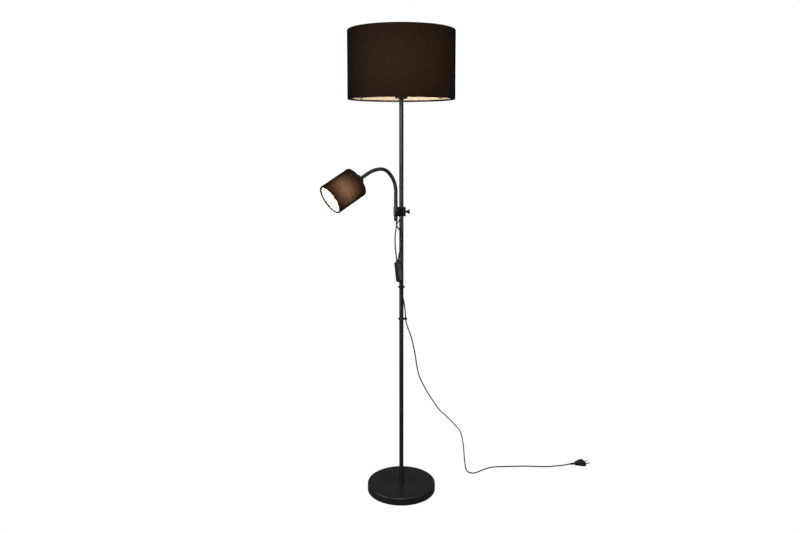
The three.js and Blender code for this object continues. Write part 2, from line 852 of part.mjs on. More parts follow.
function makePlug(lamp) {
  const plug = new THREE.Group();
  plug.position.set(...PLUG_AT);
  plug.rotation.z = rad(PLUG_TURN);
  lamp.add(plug);
  const relief = rod(at(GAP, 0, 0), at(26, 0, 0), 2.8, 16, 4.6);
  const body = outline(
    [
      [24, -5],
      [30, -7.4],
      [47, -16.6],
      [60, -17.6],
      [60, 17.6],
      [47, 16.6],
      [30, 7.4],
      [24, 5],
    ],
    13.4,
  ).translate([0, 0, -6.7]);
  const slabs = box(20, 70, -30, 30, -6.7, 6.7)
    .intersect(rod(at(20, 0, 0), at(62, 0, 0), 7, 24, 40));
  const pins = [-9.3, 9.3].map((y) =>
    rod(at(52, y, 0), at(70, y, 0), 1.9, 14)
      .add(rod(at(69.9, y, 0), at(77.8, y, 0), 2, 14))
      .add(rod(at(77.7, y, 0), at(79, y, 0), 2, 14, 1.2)),
  );
  const holes = [-9.3, 9.3].map((y) => rod(at(51.6, y, 0), at(62, y, 0), 2.2, 14));
  const housing = body.intersect(slabs).add(relief).subtract(holes[0]).subtract(holes[1]);
  add(plug, "plug_body", housing, blackPlastic);
  add(plug, "plug_pin_left", pins[0], zincSteel);
  add(plug, "plug_pin_right", pins[1], zincSteel);
}

const lamp = new THREE.Group();
makeBase(lamp);
makePole(lamp);
makeClips(lamp);
makeMainLight(lamp);
makeShade(lamp);
makeClamp(lamp);
makeArm(lamp);
makeSwitch(lamp);
makeCords(lamp);
makePlug(lamp);

export default lamp;
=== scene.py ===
"""A two-light floor lamp: the finished surfaces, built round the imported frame.

Profiles, radii and heights are in millimetres and the makers' functions turn them to metres.
+Z is up, the pole stands on the Z axis and the lamp's front looks along -Y.
"""

import math

import bmesh
import bpy
from mathutils import Euler, Matrix, Vector


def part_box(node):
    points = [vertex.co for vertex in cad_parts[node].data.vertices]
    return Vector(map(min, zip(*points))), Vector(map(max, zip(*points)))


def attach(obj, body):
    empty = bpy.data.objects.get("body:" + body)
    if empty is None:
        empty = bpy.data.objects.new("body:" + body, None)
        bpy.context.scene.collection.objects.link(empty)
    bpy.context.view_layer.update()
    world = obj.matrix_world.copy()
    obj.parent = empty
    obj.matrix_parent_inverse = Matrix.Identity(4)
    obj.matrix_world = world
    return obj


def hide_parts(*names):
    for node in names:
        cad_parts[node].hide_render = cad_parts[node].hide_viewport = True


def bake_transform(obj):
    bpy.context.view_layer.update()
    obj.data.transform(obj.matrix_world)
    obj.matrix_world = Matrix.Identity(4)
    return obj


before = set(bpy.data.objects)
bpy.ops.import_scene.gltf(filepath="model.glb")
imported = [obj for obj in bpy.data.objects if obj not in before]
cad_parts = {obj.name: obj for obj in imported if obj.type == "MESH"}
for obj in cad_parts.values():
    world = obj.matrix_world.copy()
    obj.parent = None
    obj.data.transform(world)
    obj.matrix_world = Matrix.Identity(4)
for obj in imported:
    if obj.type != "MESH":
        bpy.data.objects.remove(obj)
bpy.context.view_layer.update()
MM = 0.001
SAME_SPOT = 1e-6
FULL_TURN = 2 * math.pi


# ---- camera -----------------------------------------------------------------------------
CAMERA_PLACE = (0, -2.3895, 1.2534)
CAMERA_TILT = 84
LENS_MM = 31.64
LENS_SHIFT = (-0.0017, -0.072)


def make_camera():
    data = bpy.data.cameras.new("camera")
    data.sensor_width = 36
    data.lens = LENS_MM
    data.shift_x, data.shift_y = LENS_SHIFT
    camera = bpy.data.objects.new("camera", data)
    bpy.context.scene.collection.objects.link(camera)
    camera.location = CAMERA_PLACE
    camera.rotation_euler = (math.radians(CAMERA_TILT), 0, 0)
    bpy.context.scene.camera = camera


make_camera()

# ---- cord routes, from the piece that each cord leaves, in metres --------------------------
CORD_DIAMETER = 0.0044
CLIP_STOPS = (1, 7)  # the places in SUPPLY_ROUTE that the two clips hold
MAIN_ROUTE = [
    (-0.0106, -0.0036, 0.9600),
    (-0.0126, -0.0056, 0.9566),
    (-0.0152, -0.0082, 0.9510),
    (-0.0176, -0.0100, 0.9410),
    (-0.0194, -0.0115, 0.9280),
    (-0.0208, -0.0132, 0.9120),
    (-0.0214, -0.0150, 0.8950),
    (-0.0210, -0.0174, 0.8780),
    (-0.0198, -0.0202, 0.8620),
    (-0.0180, -0.0228, 0.8470),
    (-0.0164, -0.0243, 0.8360),
    (-0.0159, -0.0248, 0.8286),
]
READING_ROUTE = [
    (-0.0176, -0.0006, 0.9590),
    (-0.0173, -0.0014, 0.9530),
    (-0.0158, -0.0040, 0.9455),
    (-0.0122, -0.0076, 0.9385),
    (-0.0074, -0.0106, 0.9320),
    (-0.0022, -0.0128, 0.9250),
    (0.0014, -0.0140, 0.9160),
    (0.0026, -0.0144, 0.9050),
    (0.0016, -0.0147, 0.8920),
    (-0.0008, -0.0151, 0.8770),
    (-0.0042, -0.0156, 0.8620),
    (-0.0074, -0.0160, 0.8490),
    (-0.0094, -0.0164, 0.8380),
    (-0.0105, -0.0166, 0.8290),
]
SUPPLY_ROUTE = [
    (-0.0012, -0.0176, 0.7372),
    (-0.0009, -0.0162, 0.7308),
    (-0.0003, -0.0155, 0.7250),
    (0.0016, -0.0142, 0.7140),
    (0.0048, -0.0124, 0.7000),
    (0.0110, -0.0076, 0.6640),
    (0.0148, -0.0022, 0.6270),
    (0.0152, -0.0009, 0.6188),
    (0.0160, 0.0014, 0.6100),
    (0.0186, 0.0084, 0.5960),
    (0.0255, 0.0220, 0.5730),
    (0.0360, 0.0360, 0.5390),
    (0.0430, 0.0520, 0.5050),
    (0.0490, 0.0740, 0.4700),
    (0.0600, 0.1250, 0.3920),
    (0.0700, 0.1580, 0.3500),
    (0.1060, 0.2550, 0.2510),
    (0.1300, 0.3180, 0.1940),
    (0.1570, 0.3970, 0.1300),
    (0.1840, 0.4490, 0.0870),
    (0.2070, 0.4820, 0.0520),
    (0.2220, 0.4990, 0.0310),
    (0.2340, 0.5060, 0.0150),
    (0.2435, 0.4980, 0.0060),
    (0.2485, 0.4800, 0.0029),
    (0.2520, 0.4400, 0.0024),
    (0.2515, 0.3500, 0.0024),
    (0.2454, 0.2310, 0.0024),
    (0.2432, 0.1420, 0.0024),
    (0.2475, 0.1220, 0.0024),
    (0.2580, 0.1115, 0.0024),
    (0.2730, 0.1110, 0.0024),
    (0.3070, 0.1360, 0.0024),
    (0.3280, 0.1495, 0.0024),
    (0.3510, 0.1580, 0.0024),
    (0.3970, 0.1616, 0.0024),
    (0.4660, 0.1645, 0.0024),
    (0.5560, 0.1615, 0.0024),
    (0.6180, 0.1674, 0.0054),
    (0.6410, 0.1724, 0.0071),
]


# ---- finishes: a colour, a node, and the bumps that several materials share ------------------
def colour(code):
    """An sRGB hex colour as linear RGBA."""
    parts = [int(code[i : i + 2], 16) / 255 for i in (0, 2, 4)]
    linear = [c / 12.92 if c <= 0.04045 else ((c + 0.055) / 1.055) ** 2.4 for c in parts]
    return (*linear, 1)


def add(tree, kind, inputs=None, settings=None):
    """One node: its settings, and its inputs by name or number, each a value or a link."""
    made = tree.nodes.new(kind)
    for key, value in (settings or {}).items():
        setattr(made, key, value)
    for key, value in (inputs or {}).items():
        if isinstance(value, bpy.types.NodeSocket):
            tree.links.new(value, made.inputs[key])
        else:
            made.inputs[key].default_value = value
    return made


def new_material(name):
    """A material's tree, its own Object coordinates and its surface shader."""
    material = bpy.data.materials.new(name)
    material.use_nodes = True
    tree = material.node_tree
    tree.nodes.clear()
    place = add(tree, "ShaderNodeTexCoord")
    surface = add(tree, "ShaderNodeBsdfPrincipled")
    output = add(tree, "ShaderNodeOutputMaterial")
    tree.links.new(surface.outputs[0], output.inputs["Surface"])
    return material, tree, place, surface


# ---- finishes: one function for each ----------------------------------------------------------
def powder_coated_steel():
    """Steel tube and sheet with a satin black powder coat, which dries with a fine orange peel."""
    material, tree, place, surface = new_material("powder_coated_steel")
    at = place.outputs["Object"]
    # Powder grains melt to lumps of about 0.6 mm.
    peel = add(
        tree,
        "ShaderNodeTexNoise",
        {"Vector": at, "Scale": 1000 / 0.6, "Detail": 3, "Roughness": 0.55},
    ).outputs["Fac"]
    cloud = add(
        tree,
        "ShaderNodeTexNoise",
        {"Vector": at, "Scale": 1000 / 35, "Detail": 2, "Roughness": 0.55},
    ).outputs["Fac"]
    shade = add(
        tree,
        "ShaderNodeMapRange",
        {"Value": cloud, "From Min": 0.35, "From Max": 0.65, "To Min": 0.0, "To Max": 1.0},
    ).outputs[0]
    base = add(
        tree,
        "ShaderNodeMix",
        {0: shade, 6: colour("141415"), 7: colour("19191A")},
        {"data_type": "RGBA"},
    ).outputs[2]
    tree.links.new(base, surface.inputs["Base Color"])
    tree.links.new(
        add(
            tree,
            "ShaderNodeMapRange",
            {"Value": peel, "From Min": 0.3, "From Max": 0.7, "To Min": 0.36, "To Max": 0.42},
        ).outputs[0],
        surface.inputs["Roughness"],
    )
    tree.links.new(
        add(
            tree,
            "ShaderNodeBump",
            {"Height": peel, "Strength": 0.25, "Distance": 0.008 * MM},
        ).outputs[0],
        surface.inputs["Normal"],
    )
    surface.inputs["IOR"].default_value = 1.5
    return material


def cast_cement():
    """The foot's ballast: grey cement with pores and sand in it."""
    material, tree, place, surface = new_material("cast_cement")
    at = place.outputs["Object"]
    sand = add(
        tree,
        "ShaderNodeTexNoise",
        {"Vector": at, "Scale": 1000 / 1.5, "Detail": 5, "Roughness": 0.55},
    ).outputs["Fac"]
    patch = add(
        tree,
        "ShaderNodeTexNoise",
        {"Vector": at, "Scale": 1000 / 18, "Detail": 3, "Roughness": 0.55},
    ).outputs["Fac"]
    base = add(
        tree,
        "ShaderNodeMix",
        {0: patch, 6: colour("77756F"), 7: colour("A3A09A")},
        {"data_type": "RGBA"},
    ).outputs[2]
    base = add(
        tree,
        "ShaderNodeMix",
        {
            0: add(
                tree,
                "ShaderNodeMapRange",
                {"Value": sand, "From Min": 0.6, "From Max": 0.75, "To Min": 0.0, "To Max": 1.0},
            ).outputs[0],
            6: base,
            7: colour("5E5C58"),
        },
        {"data_type": "RGBA"},
    ).outputs[2]
    tree.links.new(base, surface.inputs["Base Color"])
    tree.links.new(
        add(
            tree,
            "ShaderNodeBump",
            {"Height": sand, "Strength": 1.0, "Distance": 0.4 * MM},
        ).outputs[0],
        surface.inputs["Normal"],
    )
    surface.inputs["Roughness"].default_value = 0.92
    return material


def zinc_plated_steel():
    """Bent wire, nuts and screws with bright zinc on them: slightly mottled blue-grey metal."""
    material, tree, place, surface = new_material("zinc_plated_steel")
    at = place.outputs["Object"]
    spangle = add(
        tree,
        "ShaderNodeTexNoise",
        {"Vector": at, "Scale": 1000 / 3.5, "Detail": 3, "Roughness": 0.55},
    ).outputs["Fac"]
    fine = add(
        tree,
        "ShaderNodeTexNoise",
        {"Vector": at, "Scale": 1000 / 0.4, "Detail": 2, "Roughness": 0.55},
    ).outputs["Fac"]
    base = add(
        tree,
        "ShaderNodeMix",
        {0: spangle, 6: colour("A9ADB2"), 7: colour("C9CCCE")},
        {"data_type": "RGBA"},
    ).outputs[2]
    tree.links.new(base, surface.inputs["Base Color"])
    tree.links.new(
        add(
            tree,
            "ShaderNodeMapRange",
            {"Value": spangle, "From Min": 0.3, "From Max": 0.7, "To Min": 0.26, "To Max": 0.42},
        ).outputs[0],
        surface.inputs["Roughness"],
    )
    tree.links.new(
        add(
            tree,
            "ShaderNodeBump",
            {"Height": fine, "Strength": 0.4, "Distance": 0.01 * MM},
        ).outputs[0],
        surface.inputs["Normal"],
    )
    surface.inputs["Metallic"].default_value = 1
    return material


def rolled_brass(name, light, dark):
    """Thin brass pressed into a screw shell: warm and slightly tarnished in the hollows."""
    material, tree, place, surface = new_material(name)
    at = place.outputs["Object"]
    stain = add(
        tree,
        "ShaderNodeTexNoise",
        {"Vector": at, "Scale": 1000 / 4, "Detail": 4, "Roughness": 0.55},
    ).outputs["Fac"]
    base = add(
        tree,
        "ShaderNodeMix",
        {
            0: add(
                tree,
                "ShaderNodeMapRange",
                {"Value": stain, "From Min": 0.4, "From Max": 0.7, "To Min": 0.0, "To Max": 1.0},
            ).outputs[0],
            6: colour(light),
            7: colour(dark),
        },
        {"data_type": "RGBA"},
    ).outputs[2]
    tree.links.new(base, surface.inputs["Base Color"])
    tree.links.new(
        add(
            tree,
            "ShaderNodeMapRange",
            {"Value": stain, "From Min": 0.3, "From Max": 0.7, "To Min": 0.24, "To Max": 0.4},
        ).outputs[0],
        surface.inputs["Roughness"],
    )
    surface.inputs["Metallic"].default_value = 1
    return material


def soft_rubber():
    """Pads, grommets and sleeves of matt black rubber with a bloom on it."""
    material, tree, place, surface = new_material("soft_rubber")
    at = place.outputs["Object"]
    bloom = add(
        tree,
        "ShaderNodeTexNoise",
        {"Vector": at, "Scale": 1000 / 6, "Detail": 4, "Roughness": 0.55},
    ).outputs["Fac"]
    fine = add(
        tree,
        "ShaderNodeTexNoise",
        {"Vector": at, "Scale": 1000 / 0.3, "Detail": 2, "Roughness": 0.55},
    ).outputs["Fac"]
    base = add(
        tree,
        "ShaderNodeMix",
        {0: bloom, 6: colour("171717"), 7: colour("222221")},
        {"data_type": "RGBA"},
    ).outputs[2]
    tree.links.new(base, surface.inputs["Base Color"])
    tree.links.new(
        add(
            tree,
            "ShaderNodeMapRange",
            {"Value": bloom, "From Min": 0.3, "From Max": 0.7, "To Min": 0.68, "To Max": 0.85},
        ).outputs[0],
        surface.inputs["Roughness"],
    )
    tree.links.new(
        add(
            tree,
            "ShaderNodeBump",
            {"Height": fine, "Strength": 0.6, "Distance": 0.02 * MM},
        ).outputs[0],
        surface.inputs["Normal"],
    )
    surface.inputs["IOR"].default_value = 1.52
    return material


def moulded_black_plastic(name, grain_mm, rough_low, rough_high, dark="0F0F10", light="151516"):
    """Injection-moulded black plastic with the tool's spark-eroded grain."""
    material, tree, place, surface = new_material(name)
    at = place.outputs["Object"]
    fine = add(
        tree,
        "ShaderNodeTexNoise",
        {"Vector": at, "Scale": 1000 / grain_mm, "Detail": 2, "Roughness": 0.55},
    ).outputs["Fac"]
    flow = add(
        tree,
        "ShaderNodeTexNoise",
        {"Vector": at, "Scale": 1000 / 14, "Detail": 2, "Roughness": 0.55},
    ).outputs["Fac"]
    base = add(
        tree,
        "ShaderNodeMix",
        {
            0: add(
                tree,
                "ShaderNodeMapRange",
                {"Value": flow, "From Min": 0.35, "From Max": 0.65, "To Min": 0.0, "To Max": 1.0},
            ).outputs[0],
            6: colour(dark),
            7: colour(light),
        },
        {"data_type": "RGBA"},
    ).outputs[2]
    tree.links.new(base, surface.inputs["Base Color"])
    rough = add(
        tree,
        "ShaderNodeMapRange",
        {
            "Value": flow,
            "From Min": 0.3,
            "From Max": 0.7,
            "To Min": rough_low,
            "To Max": rough_high,
        },
    ).outputs[0]
    tree.links.new(rough, surface.inputs["Roughness"])
    tree.links.new(
        add(
            tree,
            "ShaderNodeBump",
            {"Height": fine, "Strength": 0.5, "Distance": 0.025 * MM},
        ).outputs[0],
        surface.inputs["Normal"],
    )
    surface.inputs["IOR"].default_value = 1.53
    return material


def soft_pvc():
    """The cords' black PVC: smooth, a little glossy, with faint drawing lines."""
    material, tree, place, surface = new_material("soft_pvc")
    at = place.outputs["Object"]
    wave = add(
        tree,
        "ShaderNodeTexNoise",
        {"Vector": at, "Scale": 1000 / 9, "Detail": 3, "Roughness": 0.55},
    ).outputs["Fac"]
    fine = add(
        tree,
        "ShaderNodeTexNoise",
        {"Vector": at, "Scale": 1000 / 0.5, "Detail": 2, "Roughness": 0.55},
    ).outputs["Fac"]
    base = add(
        tree,
        "ShaderNodeMix",
        {0: wave, 6: colour("0A0A0B"), 7: colour("101012")},
        {"data_type": "RGBA"},
    ).outputs[2]
    tree.links.new(base, surface.inputs["Base Color"])
    tree.links.new(
        add(
            tree,
            "ShaderNodeMapRange",
            {"Value": wave, "From Min": 0.3, "From Max": 0.7, "To Min": 0.42, "To Max": 0.54},
        ).outputs[0],
        surface.inputs["Roughness"],
    )
    surface.inputs["Specular IOR Level"].default_value = 0.3
    tree.links.new(
        add(
            tree,
            "ShaderNodeBump",
            {"Height": fine, "Strength": 0.4, "Distance": 0.01 * MM},
        ).outputs[0],
        surface.inputs["Normal"],
    )
    surface.inputs["IOR"].default_value = 1.53
    return material


def opal_glass(name, tint, strength):
    """A lit bulb: white-coated glass, glossy outside, brightest where the light is made."""
    material, tree, place, surface = new_material(name)
    at = place.outputs["Object"]
    veil = add(
        tree,
        "ShaderNodeTexNoise",
        {"Vector": at, "Scale": 1000 / 12, "Detail": 2, "Roughness": 0.55},
    ).outputs["Fac"]
    glow = add(
        tree,
        "ShaderNodeMix",
        {0: veil, 6: colour(tint), 7: colour("FFE9CC")},
        {"data_type": "RGBA"},
    ).outputs[2]
    tree.links.new(glow, surface.inputs["Emission Color"])
    surface.inputs["Emission Strength"].default_value = strength
    surface.inputs["Base Color"].default_value = colour("F4EFE6")
    surface.inputs["Roughness"].default_value = 0.12
    surface.inputs["IOR"].default_value = 1.52
    return material


# Threads are about 0.45 mm apart in the real cloth; they are drawn twice as coarse to show.
THREAD_MM = 0.9


def weave(tree, spot, thread_mm):
    """Height of a plain weave at spot, a UV in metres: 1 on a thread and 0 in the gaps."""
    parts = add(tree, "ShaderNodeSeparateXYZ", {0: spot})
    wobble = add(
        tree,
        "ShaderNodeTexNoise",
        {"Vector": spot, "Scale": 1000 / 7, "Detail": 2, "Roughness": 0.55},
    ).outputs["Fac"]
    shift = add(
        tree,
        "ShaderNodeMapRange",
        {
            "Value": wobble,
            "From Min": 0,
            "From Max": 1,
            "To Min": -0.4 * thread_mm * MM,
            "To Max": 0.4 * thread_mm * MM,
        },
    ).outputs[0]
    turn = FULL_TURN / (2 * thread_mm * MM)
    across = add(
        tree,
        "ShaderNodeMath",
        {0: parts.outputs[0], 1: shift},
        {"operation": "ADD"},
    ).outputs[0]
    up = add(
        tree,
        "ShaderNodeMath",
        {0: parts.outputs[1], 1: shift},
        {"operation": "ADD"},
    ).outputs[0]
    warp = add(
        tree,
        "ShaderNodeMath",
        {
            0: add(
                tree,
                "ShaderNodeMath",
                {0: across, 1: turn},
                {"operation": "MULTIPLY"},
            ).outputs[0],
        },
        {"operation": "SINE"},
    ).outputs[0]
    weft = add(
        tree,
        "ShaderNodeMath",
        {0: add(tree, "ShaderNodeMath", {0: up, 1: turn}, {"operation": "MULTIPLY"}).outputs[0]},
        {"operation": "SINE"},
    ).outputs[0]
    return add(
        tree,
        "ShaderNodeMapRange",
        {
            "Value": add(
                tree,
                "ShaderNodeMath",
                {0: warp, 1: weft},
                {"operation": "MULTIPLY"},
            ).outputs[0],
            "From Min": -1,
            "From Max": 1,
            "To Min": 0.0,
            "To Max": 1.0,
        },
    ).outputs[0]


def slubs(tree, spot, long_mm, thick_mm, low, high):
    """Thick places in the yarn, long_mm along it and thick_mm across."""
    stretch = add(
        tree,
        "ShaderNodeMapping",
        {"Vector": spot, "Scale": (1000 / long_mm, 1000 / thick_mm, 1)},
    )
    noise = add(
        tree,
        "ShaderNodeTexNoise",
        {"Vector": stretch.outputs[0], "Scale": 1.0, "Detail": 2.0, "Roughness": 0.5},
    )
    return add(
        tree,
        "ShaderNodeMapRange",
        {
            "Value": noise.outputs["Fac"],
            "From Min": low,
            "From Max": high,
            "To Min": 0.0,
            "To Max": 1.0,
        },
    ).outputs[0]


def linen_with_painted_glow(name, radius, middle, glow, strength, veil, mottle, falloff):
    """Black slubbed cloth on a laminate, with a lamp behind it.

    The cloth is dark and matt. The lamp's light through it is painted: an emission glow,
    stronger in the gaps between its threads, weaker where the yarn is thick and weaker farther
    from the lamp, and the threads hide it at a slant: the dark coat over the glow does that.
    radius and middle are metres on the cloth's own UV.
    """
    material, tree, _, surface = new_material(name)
    spot = add(tree, "ShaderNodeUVMap", {}, {"uv_map": "cloth"}).outputs[0]
    up = add(tree, "ShaderNodeSeparateXYZ", {0: spot}).outputs[1]
    threads = weave(tree, spot, THREAD_MM)
    thick = slubs(tree, spot, 22, 2.8, 0.57, 0.67)
    upright = slubs(tree, spot, 2.2, 16, 0.6, 0.75)
    patch = add(
        tree,
        "ShaderNodeTexNoise",
        {"Vector": spot, "Scale": 1000 / 22, "Detail": 3, "Roughness": 0.6},
    ).outputs["Fac"]
    speck = add(
        tree,
        "ShaderNodeTexNoise",
        {"Vector": spot, "Scale": 1000 / 2.6, "Detail": 3, "Roughness": 0.75},
    ).outputs["Fac"]
    base = add(
        tree,
        "ShaderNodeMix",
        {0: threads, 6: colour("110D0B"), 7: colour("231C19")},
        {"data_type": "RGBA"},
    ).outputs[2]
    base = add(
        tree,
        "ShaderNodeMix",
        {0: thick, 6: base, 7: colour("0F0C0B")},
        {"data_type": "RGBA"},
    ).outputs[2]
    tree.links.new(base, surface.inputs["Base Color"])
    # Painted light: how far up the cloth lies from the lamp's middle, and the painted glow's
    # falloff with that distance.
    off = add(
        tree,
        "ShaderNodeMath",
        {
            0: add(
                tree,
                "ShaderNodeMath",
                {0: up, 1: middle},
                {"operation": "SUBTRACT"},
            ).outputs[0],
            1: radius,
        },
        {"operation": "DIVIDE"},
    ).outputs[0]
    far = add(
        tree,
        "ShaderNodeMath",
        {
            0: add(tree, "ShaderNodeMath", {0: off, 1: 2.0}, {"operation": "POWER"}).outputs[0],
            1: 1.0,
        },
        {"operation": "ADD"},
    ).outputs[0]
    reach = add(tree, "ShaderNodeMath", {0: far, 1: -falloff}, {"operation": "POWER"}).outputs[0]
    yarn = add(
        tree,
        "ShaderNodeMapRange",
        {"Value": thick, "From Min": 0, "From Max": 1, "To Min": 1.0, "To Max": 0.4},
    ).outputs[0]
    yarn = add(
        tree,
        "ShaderNodeMath",
        {
            0: yarn,
            1: add(
                tree,
                "ShaderNodeMapRange",
                {"Value": upright, "From Min": 0, "From Max": 1, "To Min": 1.0, "To Max": 0.65},
            ).outputs[0],
        },
        {"operation": "MULTIPLY"},
    ).outputs[0]
    gaps = add(
        tree,
        "ShaderNodeMapRange",
        {"Value": threads, "From Min": 0, "From Max": 1, "To Min": 1.25, "To Max": 0.75},
    ).outputs[0]
    cloud = add(
        tree,
        "ShaderNodeMapRange",
        {
            "Value": patch,
            "From Min": 0.3,
            "From Max": 0.7,
            "To Min": 1 - 0.5 * mottle,
            "To Max": 1 + 0.5 * mottle,
        },
    ).outputs[0]
    dots = add(
        tree,
        "ShaderNodeMapRange",
        {
            "Value": speck,
            "From Min": 0.3,
            "From Max": 0.7,
            "To Min": 1 - 2 * mottle,
            "To Max": 1 + 2 * mottle,
        },
    ).outputs[0]
    light = add(tree, "ShaderNodeMath", {0: reach, 1: yarn}, {"operation": "MULTIPLY"}).outputs[0]
    light = add(tree, "ShaderNodeMath", {0: light, 1: gaps}, {"operation": "MULTIPLY"}).outputs[0]
    light = add(tree, "ShaderNodeMath", {0: light, 1: cloud}, {"operation": "MULTIPLY"}).outputs[0]
    light = add(tree, "ShaderNodeMath", {0: light, 1: dots}, {"operation": "MULTIPLY"}).outputs[0]
    # The painted glow's colour: the cloth emits it in place of the lamp's light passing through.
    painted_glow = add(
        tree,
        "ShaderNodeMix",
        {
            0: add(
                tree,
                "ShaderNodeMath",
                {0: light, 1: 0.5},
                {"operation": "MULTIPLY"},
            ).outputs[0],
            6: (0, 0, 0, 1),
            7: glow,
        },
        {"data_type": "RGBA"},
    ).outputs[2]
    tree.links.new(painted_glow, surface.inputs["Emission Color"])
    surface.inputs["Emission Strength"].default_value = strength
    surface.inputs["Coat Weight"].default_value = 1
    surface.inputs["Coat IOR"].default_value = 1
    surface.inputs["Coat Tint"].default_value = (veil, veil, veil, 1)
    surface.inputs["Roughness"].default_value = 0.9
    surface.inputs["Specular IOR Level"].default_value = 0.2
    surface.inputs["Sheen Weight"].default_value = 0.02
    surface.inputs["Sheen Roughness"].default_value = 0.5
    bump = add(
        tree,
        "ShaderNodeBump",
        {"Height": threads, "Strength": 0.7, "Distance": 0.12 * MM},
    ).outputs[0]
    bump = add(
        tree,
        "ShaderNodeBump",
        {"Height": thick, "Strength": 0.7, "Distance": 0.25 * MM, "Normal": bump},
    ).outputs[0]
    tree.links.new(bump, surface.inputs["Normal"])
    return material


def laminated_lining(name, light, dark):
    """The shade's inside: a smooth cream film over the cloth, whose threads print through."""
    material, tree, _, surface = new_material(name)
    spot = add(tree, "ShaderNodeUVMap", {}, {"uv_map": "cloth"}).outputs[0]
    thick = slubs(tree, spot, 16, 1.6, 0.55, 0.75)
    patch = add(
        tree,
        "ShaderNodeTexNoise",
        {"Vector": spot, "Scale": 1000 / 30, "Detail": 3, "Roughness": 0.55},
    ).outputs["Fac"]
    base = add(
        tree,
        "ShaderNodeMix",
        {0: patch, 6: colour(light), 7: colour(dark)},
        {"data_type": "RGBA"},
    ).outputs[2]
    base = add(
        tree,
        "ShaderNodeMix",
        {
            0: add(
                tree,
                "ShaderNodeMapRange",
                {"Value": thick, "From Min": 0, "From Max": 1, "To Min": 0, "To Max": 0.35},
            ).outputs[0],
            6: base,
            7: colour("C9B59B"),
        },
        {"data_type": "RGBA"},
    ).outputs[2]
    tree.links.new(base, surface.inputs["Base Color"])
    surface.inputs["Roughness"].default_value = 0.55
    tree.links.new(
        add(
            tree,
            "ShaderNodeBump",
            {"Height": thick, "Strength": 0.5, "Distance": 0.1 * MM},
        ).outputs[0],
        surface.inputs["Normal"],
    )
    return material


def make_finishes():
    plastic = moulded_black_plastic
    return {
        "coat": powder_coated_steel(),
        "cement": cast_cement(),
        "zinc": zinc_plated_steel(),
        "brass": rolled_brass("rolled_brass", "C9A45A", "8A6A33"),
        "nickel": rolled_brass("nickel_plated_brass", "C9C4B8", "9C958A"),
        "rubber": soft_rubber(),
        "fine_plastic": plastic("fine_grained_plastic", 0.35, 0.34, 0.44),
        "shell_plastic": plastic("switch_shell_plastic", 0.5, 0.3, 0.42),
        "clamp_plastic": plastic("polished_clamp_plastic", 0.6, 0.1, 0.16, "080809", "0B0B0C"),
        "neck": plastic("neck_sheath", 0.8, 0.4, 0.46, "0D0D0E", "121213"),
        "insulator": rolled_brass("black_glass_insulator", "15131A", "0C0B0E"),
        "pvc": soft_pvc(),
        "opal": opal_glass("opal_bulb_glass", "FFE6CE", 18),
        "opal_small": opal_glass("opal_reflector_glass", "FFF5E4", 9),
        "lining": laminated_lining("cream_lining", "F1E9DC", "E6DCCB"),
        "lining_small": laminated_lining("white_lining", "F6EFE2", "F0E6D4"),
    }


FINISH = make_finishes()


# ---- modelling by hand: a start, the strokes that shape it, and its end ------------------------
def deselect():
    bpy.ops.object.select_all(action="DESELECT")


def pick(piece):
    deselect()
    piece.select_set(True)
    bpy.context.view_layer.objects.active = piece


def started(name):
    piece = bpy.context.active_object
    piece.name = name
    piece.data.name = name
    return piece


def editing():
    bpy.ops.object.mode_set(mode="EDIT")


def done_editing():
    bpy.ops.object.mode_set(mode="OBJECT")


def settle(piece, matrix=None):
    """Puts the piece at matrix and leaves that place in its mesh."""
    pick(piece)
    if matrix is not None:
        piece.matrix_world = matrix @ piece.matrix_world
    bpy.ops.object.transform_apply(location=True, rotation=True, scale=True)
    return piece


def drawn(name, profile):
    """A line through (radius, height) points, pulled out point by point and left in edit mode."""
    deselect()
    bpy.ops.mesh.primitive_plane_add(size=MM)
    piece = started(name)
    editing()
    bpy.ops.mesh.merge(type="CENTER")
    bpy.ops.transform.translate(value=(profile[0][0] * MM, 0, profile[0][1] * MM))
    for (r0, z0), (r1, z1) in zip(profile, profile[1:]):
        step = ((r1 - r0) * MM, 0, (z1 - z0) * MM)
        bpy.ops.mesh.extrude_region_move(TRANSFORM_OT_translate={"value": step})
    bpy.ops.mesh.select_all(action="SELECT")
    return piece


def spun(steps):
    """Turns the drawn line about Z, merges what meets and points its faces outwards."""
    bpy.ops.mesh.spin(steps=steps, angle=FULL_TURN, center=(0, 0, 0), axis=(0, 0, 1))
    bpy.ops.mesh.select_all(action="SELECT")
    bpy.ops.mesh.remove_doubles(threshold=SAME_SPOT)
    bpy.ops.mesh.normals_make_consistent(inside=False)
    done_editing()


def turned(name, profile, steps=64, matrix=None):
    """A body turned about Z from (radius, height) points that close, or end on the axis."""
    open_ended = profile[0][0] == 0
    piece = drawn(name, profile if open_ended else [*profile, profile[0]])
    bpy.ops.mesh.remove_doubles(threshold=SAME_SPOT)
    spun(steps)
    return settle(piece, matrix)


def arc(x, z, r, start, end, steps=4):
    """(radius, height) points on a round stretch, from one angle to another in degrees."""
    angles = [math.radians(start + (end - start) * i / steps) for i in range(steps + 1)]
    return [(x + r * math.cos(a), z + r * math.sin(a)) for a in angles]


def smoothed(points, per=4):
    """More points on a smooth line through these."""
    made = []
    ends = [points[0], *points, points[-1]]
    for a, b, c, d in zip(ends, ends[1:], ends[2:], ends[3:]):
        for i in range(per):
            t = i / per
            made.append(
                tuple(
                    0.5
                    * (
                        2 * q
                        + (r - p) * t
                        + (2 * p - 5 * q + 4 * r - s) * t * t
                        + (3 * q - p - 3 * r + s) * t**3
                    )
                    for p, q, r, s in zip(a, b, c, d)
                )
            )
    return [*made, tuple(points[-1])]


def block(name, low, high, matrix=None):
    """A box from one corner to the other, in millimetres."""
    deselect()
    middle = [(a + b) / 2 * MM for a, b in zip(low, high)]
    size = [(b - a) * MM for a, b in zip(low, high)]
    bpy.ops.mesh.primitive_cube_add(size=1, location=middle, scale=size)
    return settle(started(name), matrix)


